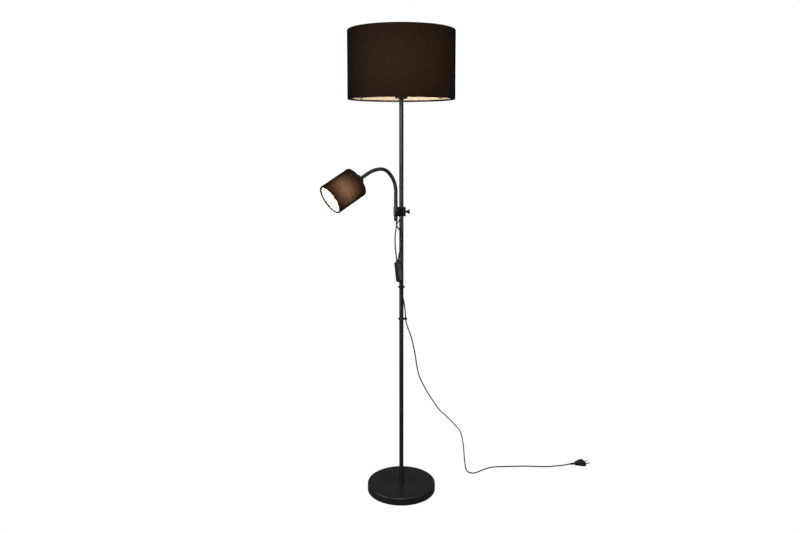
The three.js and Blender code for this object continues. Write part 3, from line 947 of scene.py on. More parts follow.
def rod(name, start, end, radius, end_radius=None, steps=32, matrix=None):
    """A round bar or cone between two points, in millimetres."""
    deselect()
    a, b = Vector(start) * MM, Vector(end) * MM
    turn = (b - a).to_track_quat("Z", "Y").to_euler()
    bpy.ops.mesh.primitive_cone_add(
        vertices=steps,
        radius1=radius * MM,
        radius2=(radius if end_radius is None else end_radius) * MM,
        depth=(b - a).length,
        location=(a + b) / 2,
        rotation=turn,
    )
    return settle(started(name), matrix)


def plate(name, points, thick, matrix=None):
    """A flat outline of (x, y) points, pulled up to its thickness, in millimetres."""
    deselect()
    bpy.ops.mesh.primitive_circle_add(vertices=len(points), radius=MM)
    piece = started(name)
    for vertex, (x, y) in zip(piece.data.vertices, points):
        vertex.co = (x * MM, y * MM, 0)
    editing()
    bpy.ops.mesh.select_all(action="SELECT")
    bpy.ops.mesh.edge_face_add()
    bpy.ops.mesh.extrude_region_move(TRANSFORM_OT_translate={"value": (0, 0, thick * MM)})
    bpy.ops.mesh.select_all(action="SELECT")
    bpy.ops.mesh.normals_make_consistent(inside=False)
    done_editing()
    return settle(piece, matrix)


def apply_modifier(piece, kind, **settings):
    pick(piece)
    modifier = piece.modifiers.new(kind.lower(), kind)
    for key, value in settings.items():
        setattr(modifier, key, value)
    bpy.ops.object.modifier_apply(modifier=modifier.name)
    return piece


def rounded(piece, width, segments=3, angle=35):
    """Every edge sharper than angle, rounded to width millimetres."""
    return apply_modifier(
        piece,
        "BEVEL",
        width=width * MM,
        segments=segments,
        limit_method="ANGLE",
        angle_limit=math.radians(angle),
        harden_normals=False,
    )


def round_edges(piece, wanted, width, segments):
    """The edges that wanted(start, end) says yes to, rounded to width millimetres."""
    pick(piece)
    editing()
    bpy.ops.mesh.select_mode(type="EDGE")
    bpy.ops.mesh.select_all(action="DESELECT")
    done_editing()
    for edge in piece.data.edges:
        edge.select = wanted(*(piece.data.vertices[i].co for i in edge.vertices))
    editing()
    bpy.ops.mesh.bevel(offset=width * MM, segments=segments, affect="EDGES")
    bpy.ops.mesh.select_mode(type="VERT")
    done_editing()
    return piece


def round_along(piece, axis, width, segments=6):
    """The edges that run along axis, 0 to 2, rounded to width millimetres."""
    return round_edges(piece, lambda a, b: abs((b - a).normalized()[axis]) > 0.99, width, segments)


def combined(piece, other, operation):
    apply_modifier(piece, "BOOLEAN", operation=operation, object=other, solver="EXACT")
    bpy.data.objects.remove(other)
    return piece


def cut(piece, *others):
    for other in others:
        combined(piece, other, "DIFFERENCE")
    return piece


def welded(piece, *others):
    for other in others:
        combined(piece, other, "UNION")
    return piece


def finished(piece, finish, replaces=(), body=None, smooth=38):
    """The piece's finish, its smooth shading, what it stands for and what it moves with."""
    pick(piece)
    bpy.ops.object.shade_smooth_by_angle(angle=math.radians(smooth))
    piece.data.materials.clear()
    piece.data.materials.append(finish)
    if replaces:
        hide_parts(*replaces)
    if body:
        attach(piece, body)
    return piece


# ---- cords and other bent lines -------------------------------------------------------------
def fine_line(points, step):
    """A smooth centripetal line through points, with a point about every step metres."""
    spots = [Vector(p) for p in points]
    ends = [spots[0] * 2 - spots[1], *spots, spots[-1] * 2 - spots[-2]]
    made = []
    for p0, p1, p2, p3 in zip(ends, ends[1:], ends[2:], ends[3:]):
        t1 = (p1 - p0).length ** 0.5
        t2 = t1 + (p2 - p1).length ** 0.5
        t3 = t2 + (p3 - p2).length ** 0.5
        count = max(2, round((p2 - p1).length / step))
        for i in range(count):
            t = t1 + (t2 - t1) * i / count
            a1 = p0 * ((t1 - t) / t1) + p1 * (t / t1)
            a2 = p1 * ((t2 - t) / (t2 - t1)) + p2 * ((t - t1) / (t2 - t1))
            a3 = p2 * ((t3 - t) / (t3 - t2)) + p3 * ((t - t2) / (t3 - t2))
            b1 = a1 * ((t2 - t) / t2) + a2 * (t / t2)
            b2 = a2 * ((t3 - t) / (t3 - t1)) + a3 * ((t - t1) / (t3 - t1))
            made.append(b1 * ((t2 - t) / (t2 - t1)) + b2 * ((t - t1) / (t2 - t1)))
    return [*made, spots[-1]]


def skinned(name, mesh, rings):
    """Faces between rings of points and over both ends, as a piece."""
    for low, high in zip(rings, rings[1:]):
        for i in range(len(low)):
            j = (i + 1) % len(low)
            mesh.faces.new((low[i], low[j], high[j], high[i]))
    mesh.faces.new(rings[0])
    mesh.faces.new(rings[-1])
    bmesh.ops.recalc_face_normals(mesh, faces=mesh.faces)
    data = bpy.data.meshes.new(name)
    mesh.to_mesh(data)
    mesh.free()
    piece = bpy.data.objects.new(name, data)
    bpy.context.scene.collection.objects.link(piece)
    return piece


def swept(name, line, section, side):
    """A closed tube: section, a list of (across, up) offsets in metres, carried along line.

    side is the direction of across at the line's end, from where it is carried back untwisted.
    """
    mesh = bmesh.new()
    tangents = [
        (line[min(i + 1, len(line) - 1)] - line[max(i - 1, 0)]).normalized()
        for i in range(len(line))
    ]
    across = Vector(side)
    rings = []
    for spot, tangent in reversed(list(zip(line, tangents))):
        across = (across - tangent * across.dot(tangent)).normalized()
        up = tangent.cross(across)
        rings.append([mesh.verts.new(spot + across * x + up * y) for x, y in section])
    return skinned(name, mesh, rings)


def round_section(radius, sides=16):
    angles = [FULL_TURN * i / sides for i in range(sides)]
    return [(radius * math.cos(a), radius * math.sin(a)) for a in angles]


def make_cord(name, route, step, side):
    """A round cord along its route, nowhere lower than lying on the floor, and its middle line."""
    line = fine_line(route, step)
    for spot in line:
        spot.z = max(spot.z, CORD_DIAMETER / 2)
    section = round_section(CORD_DIAMETER / 2)
    return swept(name, line, section, side), line


def make_cords():
    main, main_line = make_cord("main_lamp_flex", MAIN_ROUTE, 0.0016, (0, -1, 0))
    finished(main, FINISH["pvc"], ["cord_main_lamp"], smooth=60)
    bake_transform(main)
    reading, reading_line = make_cord("reading_lamp_flex", READING_ROUTE, 0.0016, (0, -1, 0))
    finished(reading, FINISH["pvc"], ["cord_reading_lamp"], smooth=60)
    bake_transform(reading)
    supply, supply_line = make_cord("mains_flex", SUPPLY_ROUTE, 0.0022, (0, 1, 0))
    finished(supply, FINISH["pvc"], ["supply_cord"], smooth=60)
    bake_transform(supply)
    return {
        "main": (main, main_line),
        "reading": (reading, reading_line),
        "supply": (supply, supply_line),
    }


CORDS = make_cords()


# ---- sizes and places, from the frame, in millimetres -----------------------------------------
def low_of(node):
    return [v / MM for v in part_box(node)[0]]


def high_of(node):
    return [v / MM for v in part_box(node)[1]]


def half_width(node):
    return (high_of(node)[0] - low_of(node)[0]) / 2


def move(x, y, z):
    return Matrix.Translation((x * MM, y * MM, z * MM))


def turn_about(axis, degrees):
    return Matrix.Rotation(math.radians(degrees), 4, axis)


BASE_R = half_width("base_cover")
BASE_TOP = high_of("base_cover")[2]
PAD_R = half_width("base_pad")
PAD_H = high_of("base_pad")[2]
POLE_R = half_width("pole_1")
SHADE_R = half_width("shade_fabric")
SHADE_Z0 = low_of("shade_fabric")[2]
SHADE_Z1 = high_of("shade_fabric")[2]
HOLDER_Z0 = low_of("holder_body")[2]
SHOULDER = HOLDER_Z0 + 44
CLAMP_Z0 = low_of("clamp_block")[2]
CLAMP_Z1 = high_of("clamp_block")[2]
CLAMP_MID = (CLAMP_Z0 + CLAMP_Z1) / 2
SLEEVE_X = -19
SLEEVE_Z0 = low_of("neck_sleeve")[2]
SLEEVE_Z1 = high_of("neck_sleeve")[2]
SLEEVE_R = half_width("neck_sleeve")
ARM = move(SLEEVE_X, 0, 0) @ turn_about("Z", 212)
HEAD = ARM @ move(153.2, 0, 1100.5) @ turn_about("Y", 120)
HEAD_R = 51.5
HEAD_L = 112
SWITCH = move(-11.6, -23.8, 823) @ turn_about("Y", -5.7) @ turn_about("Z", 30)
SWITCH_L = 69
PLUG = move(641, 172.4, 7.1) @ turn_about("Z", 12.5)


# ---- the foot ---------------------------------------------------------------------------------
def make_foot():
    r = 4
    cover = turned(
        "base_plate_cover",
        [
            (BASE_R - 1.1, 0.8),
            (BASE_R - 0.3, 0.8),
            (BASE_R, 1.3),
            *arc(BASE_R - r, BASE_TOP - r, r, 0, 90, 7),
            (16, BASE_TOP),
            (15.2, BASE_TOP - 0.35),
            (5.6, BASE_TOP - 0.35),
            (5.6, BASE_TOP - 1.1),
            (BASE_R - 5, BASE_TOP - 1.1),
            (BASE_R - 1.2, BASE_TOP - 5),
        ],
        144,
    )
    finished(cover, FINISH["coat"], ["base_cover"], "root")
    grooves = []
    for radius in (32, 62, 92):
        grooves += [(radius, 0), (radius + 0.8, 0.5), (radius + 3.2, 0.5), (radius + 4, 0)]
    pad = turned(
        "base_rubber_pad",
        [(0, 0), *grooves, (PAD_R - 0.6, 0), (PAD_R, 0.5), (PAD_R, PAD_H), (0, PAD_H)],
        96,
    )
    finished(pad, FINISH["rubber"], ["base_pad"], "root")
    collar = turned(
        "foot_ring",
        [
            (POLE_R + 0.3, BASE_TOP + 0.2),
            (12.2, BASE_TOP + 0.2),
            (12.2, BASE_TOP + 1.7),
            *arc(10.9, BASE_TOP + 1.7, 1.3, 0, 90, 5)[1:],
            (8.4, BASE_TOP + 3),
            (POLE_R + 0.3, BASE_TOP + 2.4),
        ],
        72,
    )
    finished(collar, FINISH["coat"], ["foot_collar"], "root")


# ---- the pole, its cord clips and the hole that the main cord leaves by -------------------------
def make_pole():
    for i in range(1, 5):
        node = f"pole_{i}"
        z0, z1 = low_of(node)[2], high_of(node)[2]
        tube = turned(
            f"pole_tube_{i}",
            [
                (POLE_R - 1, z0),
                (POLE_R - 0.4, z0),
                (POLE_R, z0 + 0.4),
                (POLE_R, z1 - 0.4),
                (POLE_R - 0.4, z1),
                (POLE_R - 1, z1),
            ],
            64,
        )
        finished(tube, FINISH["coat"], [node], "root")


def make_grommet():
    away = Vector((-0.947, -0.322, 0)).normalized()
    matrix = move(0, 0, 962) @ away.to_track_quat("Z", "Y").to_matrix().to_4x4()
    lip = turned(
        "pole_cord_grommet",
        [
            (2.35, 5),
            (2.9, 5),
            (2.9, 7.2),
            (4.6, 7.1),
            (5, 7.7),
            (4.7, 8.5),
            (3.6, 9.3),
            (2.8, 9.3),
            (2.35, 8.7),
        ],
        40,
        matrix,
    )
    finished(lip, FINISH["rubber"], ["pole_grommet"], "root")


CLIP_HALF = 3.8


def clip_ring(name, z):
    half = CLIP_HALF
    inside = POLE_R + 0.25
    return turned(
        name,
        [
            (inside, z - half),
            (inside + 1.2, z - half),
            (inside + 1.7, z - half + 0.5),
            (inside + 1.7, z + half - 0.5),
            (inside + 1.2, z + half),
            (inside, z + half),
        ],
        64,
    )


def clip_hook(name, x, y, z, tilt):
    half = CLIP_HALF
    matrix = move(x, y, z) @ Euler(tilt).to_matrix().to_4x4()
    return turned(
        name,
        [
            (3.2, -half),
            (4.3, -half),
            (4.8, -half + 0.4),
            (4.8, half - 0.4),
            (4.3, half),
            (3.2, half),
        ],
        40,
        matrix,
    )


def finish_clip(clip, z, node):
    cut(clip, rod("pole_room", (0, 0, z - 9), (0, 0, z + 9), POLE_R + 0.2, steps=64))
    rounded(clip, 0.3, 2, 50)
    finished(clip, FINISH["fine_plastic"], [node], "root")


def make_clips():
    x, y, z = (v / MM for v in SUPPLY_ROUTE[CLIP_STOPS[0]])
    ears = [
        block("ear_left", (-11.2, -1.5, z - 3), (-8, 1.5, z + 3)),
        block("ear_right", (8, -1.5, z - 3), (11.4, 1.5, z + 3)),
        block("clip_neck", (-2, y + 3.9, z - 3.4), (0.6, -8, z + 3.4)),
    ]
    hook = clip_hook("clip_hook", x, y, z, (math.radians(12), math.radians(3), 0))
    cut(hook, block("clip_mouth", (x - 6, y - 6, z - 6), (x - 0.8, y - 1.6, z + 6)))
    finish_clip(welded(clip_ring("pole_clip_upper", z), *ears, hook), z, "cord_clip_1")
    x, y, z = (v / MM for v in SUPPLY_ROUTE[CLIP_STOPS[1]])
    hook = clip_hook("clip_hook", x, y, z, (math.radians(-12), math.radians(2), 0))
    cut(hook, block("clip_mouth", (x - 1.8, y - 7, z - 6), (x + 1.8, y - 1.6, z + 6)))
    arm = block("clip_arm", (8, -2.4, z - 3.5), (x - 3.6, 0.6, z + 3.5))
    ear = block("ear_left", (-11, -1.5, z - 3), (-8, 1.5, z + 3))
    finish_clip(welded(clip_ring("pole_clip_lower", z), arm, ear, hook), z, "cord_clip_2")


# ---- lamp holders, screw rings and bulbs --------------------------------------------------------
def threaded(radius, depth, pitch, z0, z1):
    """The outline of a rolled thread: shallow round ridges up a shell."""
    made = []
    count = round((z1 - z0) / pitch)
    for i in range(count):
        z = z0 + (z1 - z0) * i / count
        rise = (z1 - z0) / count
        made += [
            (radius - depth, z),
            (radius - 0.25 * depth, z + 0.3 * rise),
            (radius, z + 0.5 * rise),
            (radius - 0.25 * depth, z + 0.7 * rise),
        ]
    return [*made, (radius - depth, z1)]


def ribbed_ring(name, inner, outer, z0, z1, ribs, matrix=None):
    """A ring with upright finger ribs round it."""
    points = []
    for i in range(ribs * 4):
        a = FULL_TURN * i / (ribs * 4)
        r = outer if i % 4 in (0, 1) else outer - 0.6
        points.append((r * math.cos(a), r * math.sin(a)))
    ring = plate(name, points, z1 - z0, move(0, 0, z0))
    cut(ring, rod("bore", (0, 0, z0 - 2), (0, 0, z1 + 2), inner, steps=64))
    return settle(ring, matrix)


def make_main_holder():
    z0, z1 = HOLDER_Z0, SHOULDER
    body = turned(
        "main_lamp_holder",
        [
            (POLE_R + 0.25, z0 + 0.4),
            (POLE_R + 0.8, z0),
            (18.6, z0),
            *arc(18.6, z0 + 2.4, 2.4, -90, 0, 5),
            (21, z0 + 12),
            (20.6, z0 + 12.4),
            (20.6, z0 + 13.4),
            (21, z0 + 13.8),
            (21, z1 - 0.6),
            (20.4, z1),
            (19.2, z1 + 0.2),
            *threaded(19.35, 0.5, 2.1, z1 + 0.8, z1 + 15),
            (18.4, z1 + 15.6),
            (15.5, z1 + 15.6),
            (15.2, z1 + 15.2),
            (15.2, z1 - 20),
            (POLE_R + 0.25, z1 - 20),
        ],
        72,
    )
    finished(body, FINISH["fine_plastic"], ["holder_body"], "root")
    low = ribbed_ring("nut_grip", 19.6, 22.4, z1 + 6.4, z1 + 14, 28)
    rounded(low, 0.2, 2, 30)
    flange = turned(
        "nut_flange",
        [(19.6, z1 + 4.6), (26.6, z1 + 4.6), (27, z1 + 5), (27, z1 + 5.8), (26.4, z1 + 6.4)]
        + [(19.6, z1 + 6.8)],
        72,
    )
    nut = welded(flange, low)
    nut.name = nut.data.name = "shade_screw_ring"
    finished(nut, FINISH["fine_plastic"], ["shade_nut_ring"], "root")


def make_bulb(names, profile, shell, contact, steps, matrix, finish, nodes, body):
    glass = turned(names[0], smoothed(profile, 5), steps, matrix)
    finished(glass, FINISH[finish], [nodes[0]], body, smooth=80)
    radius, z0, z1, pitch = shell
    cap = turned(
        names[1],
        [
            (0, contact),
            (radius * 0.3, contact),
            (radius * 0.36, contact + 1),
            (radius * 0.42, z0 - 3),
            (radius - 1.2, z0 - 0.8),
            *threaded(radius, 0.8, pitch, z0, z1 - 3),
            (radius - 0.4, z1 - 2.4),
            (radius - 0.4, z1),
            (0, z1),
        ],
        48,
        matrix,
    )
    finished(cap, FINISH["brass"], [nodes[1]], body, smooth=50)


def make_main_bulb():
    z0, z1 = low_of("main_bulb_glass")[2], high_of("main_bulb_glass")[2]
    tall = z1 - z0
    outline = [
        (0, 0),
        (12.4, 0),
        (14.1, 1.2),
        (14.6, 5),
        (17.4, 13),
        (23, 24),
        (28.2, 36.5),
        (30, 48),
        (28.3, 59),
        (23.4, 68.4),
        (15.6, 75.2),
        (7, 78.4),
        (0, tall),
    ]
    make_bulb(
        ("main_bulb", "main_bulb_screw_cap"),
        [(r, z0 + z) for r, z in outline],
        (13.4, z0 - 25.5, z0 - 0.5, 3.6),
        low_of("main_bulb_cap")[2],
        72,
        None,
        "opal",
        ("main_bulb_glass", "main_bulb_cap"),
        "root",
    )


# ---- shades: wires, spider, cloth and lining ----------------------------------------------------
CLOTH_THICK = 0.5
SEAM_LAP = 9
SEAM_RISE = 0.35
DRUM_STEPS = 160
SHADE_WIRE = 1.8
HEAD_WIRE = 1.4


def bent_wire(name, points, radius, matrix=None):
    """A round wire along a line of points, in millimetres."""
    line = [Vector(p) * MM for p in points]
    wire = swept(name, line, round_section(radius * MM, 14), (0.31, 0.22, 0.9))
    return settle(wire, matrix)


def wire_ring(name, radius, z, thick, matrix=None):
    deselect()
    bpy.ops.mesh.primitive_torus_add(
        major_radius=radius * MM,
        minor_radius=thick * MM,
        major_segments=128,
        minor_segments=14,
        location=(0, 0, z * MM),
    )
    return settle(started(name), matrix)


def spider(name, hub, arms, matrix=None):
    """A flat ring and the wires that run from it to the shade's own ring."""
    ring = turned(name, hub, 72, matrix)
    wires = [bent_wire(f"arm_{i}", points, thick, matrix) for i, (points, thick) in enumerate(arms)]
    return welded(ring, *wires)


def make_main_frame():
    ring_r = SHADE_R - 4.2
    z = SHOULDER + 2.2
    arms = []
    for degrees in (30, 150, 270):
        c, s = math.cos(math.radians(degrees)), math.sin(math.radians(degrees))
        profile = [(23, z), (48, z), (55, z - 0.4), (60, z - 2), (66, z - 4.6)]
        low = SHADE_Z0 + 3.4
        profile += [(100, z - 19.1), (135, z - 33.6), (ring_r - 3, low)]
        arms.append(([(r * c, r * s, h) for r, h in profile], SHADE_WIRE))
    hub = [(19.7, z - 1), (27.6, z - 1), (28, z - 0.6), (28, z + 0.6), (27.6, z + 1), (19.7, z + 1)]
    piece = spider("main_shade_spider", hub, arms)
    finished(piece, FINISH["zinc"], ["shade_spider"], "root")
    low = wire_ring("main_shade_wire_low", ring_r, SHADE_Z0 + 3, SHADE_WIRE)
    finished(low, FINISH["zinc"], ["shade_wire_bottom"], "root", 80)
    high = wire_ring("main_shade_wire_high", ring_r, SHADE_Z1 - 3, SHADE_WIRE)
    finished(high, FINISH["zinc"], ["shade_wire_top"], "root", 80)


def wrap_cloth(piece, radius, seam):
    """A UV in metres on a turned piece: along the cloth, and up it. It starts at the seam."""
    mesh = piece.data
    layer = mesh.uv_layers.new(name="cloth")
    spots = [v.co.copy() for v in mesh.vertices]
    for face in mesh.polygons:
        middle = sum((spots[i] for i in face.vertices), Vector()) / len(face.vertices)
        centre = (math.atan2(middle.y, middle.x) - seam) % (FULL_TURN)
        for loop in face.loop_indices:
            spot = spots[mesh.loops[loop].vertex_index]
            turn = (math.atan2(spot.y, spot.x) - seam) % (FULL_TURN)
            if turn - centre > math.pi:
                turn -= FULL_TURN
            elif centre - turn > math.pi:
                turn += FULL_TURN
            layer.data[loop].uv = (turn * radius * MM, spot.z + (radius * MM - spot.xy.length))
    return piece


def rolled_edge(radius, z, way, wire):
    """The cloth's edge, from outside, round the ring wire and up behind it.

    way is 1 at the bottom and -1 at the top.
    """
    w = wire
    steps = [
        (0, 3.2 * w),
        (0, 1.7 * w),
        (0.25, 1.1 * w),
        (0.9, 0.45 * w),
        (1.9, 0.1 * w),
        (3.4, 0),
        (2.3 + 1.7 * w, 0.25 * w),
        (2.9 + 1.85 * w, 0.9 * w),
        (3.0 + 1.9 * w, 1.7 * w),
        (2.8 + 1.8 * w, 2.6 * w),
        (2.2 + 1.5 * w, 3.2 * w),
    ]
    return [(radius - inward, z + way * up) for inward, up in steps]


def cloth_drum(name, radius, z0, z1, wire, matrix, seam, swell):
    """The outer cloth: one skin, rolled round the wire at each end and lapped at its seam."""
    waist = []
    for i in range(1, 8):
        waist.append((radius - swell * math.sin(math.pi * i / 8), z0 + (z1 - z0) * i / 8))
    bottom, top = rolled_edge(radius, z0, 1, wire), rolled_edge(radius, z1, -1, wire)
    outer = [*reversed(bottom), *waist, *top]
    outer = [p for i, p in enumerate(outer) if i == 0 or p != outer[i - 1]]
    piece = drawn(name, outer)
    spun(DRUM_STEPS)
    face = max(piece.data.polygons, key=lambda f: f.area)
    if face.normal.dot(Vector((face.center.x, face.center.y, 0))) < 0:
        piece.data.flip_normals()
    for vertex in piece.data.vertices:
        turn = (math.atan2(vertex.co.y, vertex.co.x) - seam) % (FULL_TURN)
        lap = min(1.0, max(0.0, 1 - turn * radius / SEAM_LAP) * 4)
        out = Vector((vertex.co.x, vertex.co.y, 0)).normalized()
        vertex.co += out * lap * SEAM_RISE * MM
    apply_modifier(piece, "SOLIDIFY", thickness=CLOTH_THICK * MM, offset=-1)
    wrap_cloth(piece, radius, seam)
    return settle(piece, matrix)


def lining_drum(name, radius, z0, z1, wire, matrix, seam):
    """The laminate behind the cloth, which stops at the rolled edges."""
    z0, z1 = z0 + 3.4 * wire, z1 - 3.4 * wire
    outline = [(radius, z0), (radius, z1), (radius - 0.5, z1), (radius - 0.5, z0)]
    piece = turned(name, outline, DRUM_STEPS)
    wrap_cloth(piece, radius, seam)
    return settle(piece, matrix)


def make_main_shade():
    seam = math.radians(62)
    ends = (SHADE_Z0, SHADE_Z1, SHADE_WIRE, None, seam)
    # The main shade's cloth gets a painted glow: an emission that stands for the bulb's light
    # coming through it.
    linen = linen_with_painted_glow(
        "black_slub_linen",
        SHADE_R * MM,
        (SHADE_Z0 + SHADE_Z1) / 2 * MM,
        glow=(0.62, 0.29, 0.11, 1),
        strength=0.175,
        veil=0.45,
        mottle=0.14,
        falloff=1.5,
    )
    cloth = cloth_drum("main_shade_cloth", SHADE_R, *ends, swell=0.25)
    finished(cloth, linen, ["shade_fabric"], "root", 50)
    inner = lining_drum("main_shade_lining", SHADE_R - 0.8, *ends)
    finished(inner, FINISH["lining"], ["shade_lining"], "root", 50)
    return cloth


# ---- the clamp, its screw and the sleeve that holds the neck -------------------------------------
def make_clamp():
    z0, z1 = CLAMP_Z0, CLAMP_Z1
    main = block("clamp_body", (-17.5, -11.5, z0), (9.5, 11.5, z1))
    round_along(main, 2, 3.4, 6)
    lug = block("clamp_lug", (3.1, -7.5, z0), (15.1, 7.5, z1))
    round_along(lug, 2, 1.8, 4)
    boss = rod("clamp_boss", (SLEEVE_X, 0, z0), (SLEEVE_X, 0, z1), 8.2, steps=64)
    bridge = block("clamp_bridge", (SLEEVE_X, -7.4, z0), (-12, 7.4, z1))
    piece = welded(main, lug, bridge, boss)
    cut(
        piece,
        rod("pole_room", (0, 0, z0 - 2), (0, 0, z1 + 2), 9.45, steps=72),
        rod("sleeve_room", (SLEEVE_X, 0, z0 - 2), (SLEEVE_X, 0, z1 + 2), SLEEVE_R + 0.2, steps=64),
        rod("screw_room", (5, 0, CLAMP_MID), (20, 0, CLAMP_MID), 3.1, steps=40),
        block("pinch_slot", (9, -0.6, z0 - 1), (16, 0.6, z1 + 1)),
    )
    rounded(piece, 0.55, 3, 40)
    piece.name = piece.data.name = "pole_clamp"
    finished(piece, FINISH["clamp_plastic"], ["clamp_block"], "clamp", 30)


def make_wing_screw():
    half = [(15.4, 3.2), (18.6, 3.9), (22, 5.9), (25.8, 8), (28.2, 8.2), (29.2, 7.2), (29.3, 3.6)]
    half += [(28.8, 1.4)]
    outline = [*[(x, -y) for x, y in half], (26.8, 0), *reversed(half)]
    matrix = move(0, 0, CLAMP_MID) @ turn_about("X", 90) @ move(0, 0, -1.6)
    wing = plate("wing", outline, 3.2, matrix)
    rounded(wing, 0.9, 3, 50)
    along = move(0, 0, CLAMP_MID) @ turn_about("Y", 90)
    shaft = turned(
        "clamp_wing_screw",
        [
            (0, 9.6),
            (2.1, 9.6),
            *threaded(2.85, 0.35, 0.9, 10, 15),
            (4, 15.3),
            (4.4, 15.7),
            (4.4, 17.4),
            (3.6, 19.6),
            (3.2, 21),
            (0, 21.4),
        ],
        48,
        along,
    )
    piece = welded(shaft, wing)
    finished(piece, FINISH["clamp_plastic"], ["wing_screw"], "wing_screw")


def make_sleeve():
    z = SLEEVE_Z0
    r = SLEEVE_R
    piece = turned(
        "neck_socket_sleeve",
        [
            (2.7, z + 0.7),
            (3.3, z),
            (4.4, z + 0.9),
            (5.5, z + 2.6),
            (6.2, z + 4.8),
            (r, z + 7.4),
            (r, SLEEVE_Z1 - 2.6),
            (r - 0.35, SLEEVE_Z1 - 2.1),
            (r - 0.35, SLEEVE_Z1 - 1.7),
            (r - 0.05, SLEEVE_Z1 - 1.3),
            (r - 0.3, SLEEVE_Z1 - 0.5),
            (r - 0.9, SLEEVE_Z1),
            (2.7, SLEEVE_Z1),
        ],
        64,
        ARM,
    )
    finished(piece, FINISH["coat"], ["neck_sleeve"], "clamp", 45)


# ---- the flexible neck: a close coil of wire under a thin black sleeve ---------------------------
NECK_R = 6.25
NECK_START = SLEEVE_Z1 + 0.3
NECK_Z0 = 1061.46
NECK_ARCS = ((90, 48), (44.4, 42), (96, 30))
NECK_END = 216.7
NECK_JOINTS = (56, 89, 122, 155, 188)
COIL_PITCH = 2.9
COIL_DEPTH = 0.14
BEND_REACH = 14


def neck_point(along):
    """The neck's middle at a distance along it in millimetres: up, over and down again."""
    left = along - (NECK_Z0 - NECK_START)
    if left <= 0:
        return ARM @ (Vector((0, 0, NECK_START + along)) * MM)
    x, z, heading = 0.0, NECK_Z0, 0.0
    for radius, degrees in NECK_ARCS:
        turn = min(left / radius, math.radians(degrees))
        x += radius * (math.cos(heading) - math.cos(heading + turn))
        z += radius * (math.sin(heading + turn) - math.sin(heading))
        heading += turn
        left = max(0.0, left - radius * turn)
        if left == 0:
            break
    return ARM @ (Vector((x + left * math.sin(heading), 0, z + left * math.cos(heading))) * MM)


def neck_length(name, start, end):
    """A stretch of the neck: a soft sleeve that shows each turn of the coil beneath."""
    mesh = bmesh.new()
    across = (ARM.to_3x3() @ Vector((0, 1, 0))).normalized()
    steps = max(8, round((end - start) / COIL_PITCH * 4))
    sides = 28
    rings = []
    for i in range(steps + 1):
        along = start + (end - start) * i / steps
        spot = neck_point(along)
        tangent = (neck_point(along + 0.2) - neck_point(along - 0.2)).normalized()
        up = tangent.cross(across).normalized()
        wave = 0.5 + 0.5 * math.cos(FULL_TURN * along / COIL_PITCH)
        radius = (NECK_R - COIL_DEPTH + COIL_DEPTH * wave**0.6) * MM
        ring = []
        for k in range(sides):
            a = FULL_TURN * k / sides
            ring.append(mesh.verts.new(spot + (across * math.cos(a) + up * math.sin(a)) * radius))
        rings.append(ring)
    return skinned(name, mesh, rings)


def make_neck():
    stops = [0, *[(a + b) / 2 for a, b in zip(NECK_JOINTS, NECK_JOINTS[1:])], NECK_END]
    for i, joint in enumerate(NECK_JOINTS):
        piece = neck_length(f"neck_hose_{i + 1}", stops[i], stops[i + 1])
        nodes = [f"neck_{i + 1}"] if i < 4 else ["neck_5", "neck_6"]
        finished(piece, FINISH["neck"], nodes, smooth=70)
        start, end = neck_point(joint - BEND_REACH), neck_point(joint + BEND_REACH)
        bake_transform(piece)


# ---- the reading head: cap, holder, bulb and the small shade -------------------------------------
def make_head():
    cap = turned(
        "reading_head_cap",
        [
            (0, -21),
            (6.5, -21),
            (6.6, -22.6),
            (8.2, -22.6),
            (8.8, -22),
            (8.9, -21),
            (11.8, -20.9),
            *arc(11.5, -16, 5, -80, 0, 7),
            (16.5, -1.4),
            (16.1, -0.9),
            (16.1, -0.4),
            (16.5, 0),
            (16.2, 0.7),
            (15, 0.7),
            (15, -15),
            (0, -15),
        ],
        72,
        HEAD,
    )
    finished(cap, FINISH["fine_plastic"], ["head_cap"], "head")
    holder = turned(
        "reading_lamp_holder",
        [
            (3, -14.7),
            (14, -14.7),
            (14.2, -14.4),
            (14.2, 1.2),
            (13.6, 1.9),
            *threaded(13.6, 0.5, 2.4, 2.6, 24),
            (13.1, 26),
            (13.1, 29.6),
            (12.7, 30),
            (9.8, 30),
            (9.8, 3),
            (3, 3),
        ],
        64,
        HEAD,
    )
    finished(holder, FINISH["fine_plastic"], ["head_holder"], "head")
    flange = turned(
        "nut_flange",
        [(14, 4.4), (18, 4.4), (18.4, 4.8), (18.4, 5.2), (18, 5.6), (14, 6.2)],
        64,
    )
    nut = welded(flange, ribbed_ring("nut_grip", 14, 16.2, 5.2, 12, 22))
    nut.name = nut.data.name = "reading_shade_screw_ring"
    settle(nut, HEAD)
    finished(nut, FINISH["fine_plastic"], ["head_nut_ring"], "head")
    outline = [
        (0, 32.3),
        (9.6, 32.3),
        (10.9, 33.6),
        (12.8, 37.4),
        (18.6, 45),
        (21.8, 52),
        (22.4, 58),
        (20.8, 66),
        (16.4, 73),
        (9.4, 78),
        (0, 80),
    ]
    make_bulb(
        ("reading_bulb", "reading_bulb_screw_cap"),
        outline,
        (8.2, 10, 31.8, 3),
        5.2,
        64,
        HEAD,
        "opal_small",
        ("head_bulb_glass", "head_bulb_cap"),
        "head",
    )


